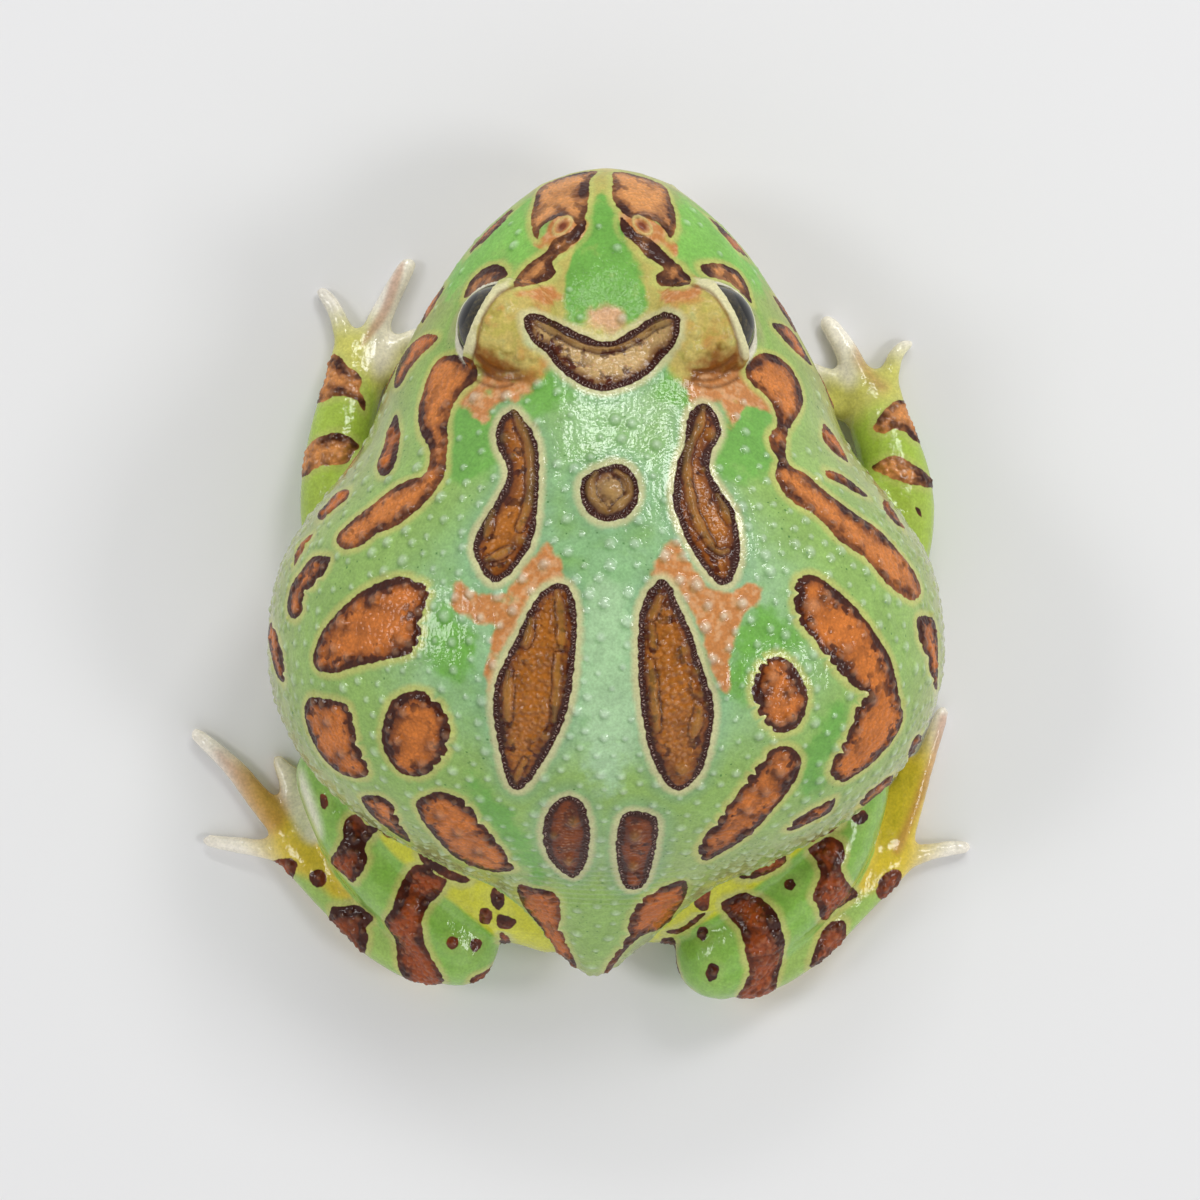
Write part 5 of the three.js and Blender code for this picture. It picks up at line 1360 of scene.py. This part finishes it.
for side, name in ((1, "left"), (-1, "right")):
    azimuth, rise = math.radians(skin["eyeTurnForward"]), math.radians(eye["turnUp"])
    look = Vector((side * math.cos(azimuth), -math.sin(azimuth), math.tan(rise))).normalized()
    level = Vector((0, 0, 1)).cross(look).normalized()
    across = look.cross(level)
    angle = np.linspace(0, np.pi, eye["rings"])[:, None]
    turn = np.linspace(0, 2 * np.pi, eye["segments"], endpoint=False)[None, :]
    bulging = np.exp(-(np.sin(angle) * eye["radius"] / 3.4) ** 4) * (np.cos(angle) > 0)
    radius = eye["radius"] + eye["bulge"] * bulging
    ball = np.stack([radius * np.sin(angle) * np.cos(turn), radius * np.sin(angle) * np.sin(turn),
                     radius * np.cos(angle) + 0 * turn], axis=2).reshape(-1, 3)
    row, column = np.meshgrid(np.arange(eye["rings"] - 1), np.arange(eye["segments"]), indexing="ij")
    following = (column + 1) % eye["segments"]
    corners = np.stack([row * eye["segments"] + column, (row + 1) * eye["segments"] + column,
                        (row + 1) * eye["segments"] + following, row * eye["segments"] + following], axis=2)
    ballMesh = meshFrom(f"eyeball_{name}", ball / 1000, corners.reshape(-1, 4))
    ballMesh.polygons.foreach_set("use_smooth", np.ones(len(ballMesh.polygons), bool))
    ballMesh.materials.append(eyeMaterial)
    ballObject = bpy.data.objects.new(f"eyeball_{name}", ballMesh)
    bpy.context.scene.collection.objects.link(ballObject)
    middle = eyePlaces[0 if side > 0 else 1] / 1000
    ballObject.matrix_world = Matrix([[level[k], across[k], look[k], middle[k]] for k in range(3)]
                                     + [[0, 0, 0, 1]])
    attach(ballObject, "root")
    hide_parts(f"eye_{name}")
report("eyes")

# Stage: a pale floor, a wide soft light ahead of the frog, a bright room and the camera above.
stage = {
    "floor": "#E9E9EA",
    "floorSide": 6.0,            # m
    "room": 0.62,
    "roomAbove": 0.12,           # straight up, where the camera stands, the room is dark
    "lights": {                  # power in W, size and place in m
        "key": (7.0, (0.50, 0.36), (-0.62, -1.02, 1.12)),
        "ahead": (3.5, (0.46, 0.16), (0.02, -1.25, 1.02)),
        "left": (3.8, (0.40, 0.36), (1.05, -0.15, 1.10)),
        "right": (4.4, (0.40, 0.36), (-1.05, 0.30, 1.10)),
        "rear": (4.0, (2.00, 1.20), (-0.20, 1.15, 1.20)),
    },
    "sensor": 36.0,              # mm
}
floorCorners = np.array([[-1, -1, 0], [1, -1, 0], [1, 1, 0], [-1, 1, 0]]) * stage["floorSide"] / 2
floorMesh = meshFrom("floor", floorCorners - np.array([0, 0, 0.00003]), np.array([[0, 1, 2, 3]]))
floorObject = bpy.data.objects.new("floor", floorMesh)
bpy.context.scene.collection.objects.link(floorObject)
floorMaterial = bpy.data.materials.new("pale_paper")     # matt coated paper, an even pale grey
floorMaterial.use_nodes = True
floorMaterial.node_tree.nodes["Principled BSDF"].inputs["Base Color"].default_value = linear(stage["floor"])
floorMaterial.node_tree.nodes["Principled BSDF"].inputs["Roughness"].default_value = 0.7
floorMesh.materials.append(floorMaterial)
floorObject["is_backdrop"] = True

world = bpy.data.worlds.new("room")
world.use_nodes = True
roomTree = world.node_tree
direction = node(roomTree, "ShaderNodeTexCoord", {}, output="Generated")
rise = node(roomTree, "ShaderNodeSeparateXYZ", {0: direction}, output="Z")
strength = node(roomTree, "ShaderNodeMapRange", {"Value": rise, "From Min": 0.6, "From Max": 0.95,
                                                 "To Min": stage["room"], "To Max": stage["roomAbove"]},
                interpolation_type="SMOOTHSTEP")
roomTree.links.new(strength, roomTree.nodes["Background"].inputs["Strength"])
roomTree.nodes["Background"].inputs["Color"].default_value = (1, 1, 1, 1)
bpy.context.scene.world = world
for name, (power, size, spot) in stage["lights"].items():
    lightData = bpy.data.lights.new(name, "AREA")
    lightData.shape = "RECTANGLE"
    lightData.size, lightData.size_y = size
    lightData.energy = power
    light = bpy.data.objects.new(name, lightData)
    bpy.context.scene.collection.objects.link(light)
    light.location = spot
    light.rotation_euler = (-Vector(spot)).to_track_quat("-Z", "Y").to_euler()
bpy.context.scene.view_settings.view_transform = "Standard"

cameraData = bpy.data.cameras.new("camera")
cameraData.sensor_width = stage["sensor"]
halfPicture = view["mmPerPixel"] / (view["cameraHeight"] - view["atHeight"]) * view["pictureSide"] / 2
cameraData.lens = stage["sensor"] / 2 / halfPicture
camera = bpy.data.objects.new("camera", cameraData)
bpy.context.scene.collection.objects.link(camera)
camera.location = (view["centreX"] / 1000, view["centreY"] / 1000, view["cameraHeight"] / 1000)
camera.rotation_euler = (0, 0, math.pi)                  # image up is towards the snout, -Y
bpy.context.scene.camera = camera

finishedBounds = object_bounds()
report(f"size: {[round(v * 1000, 2) for corner in finishedBounds for v in corner]}")
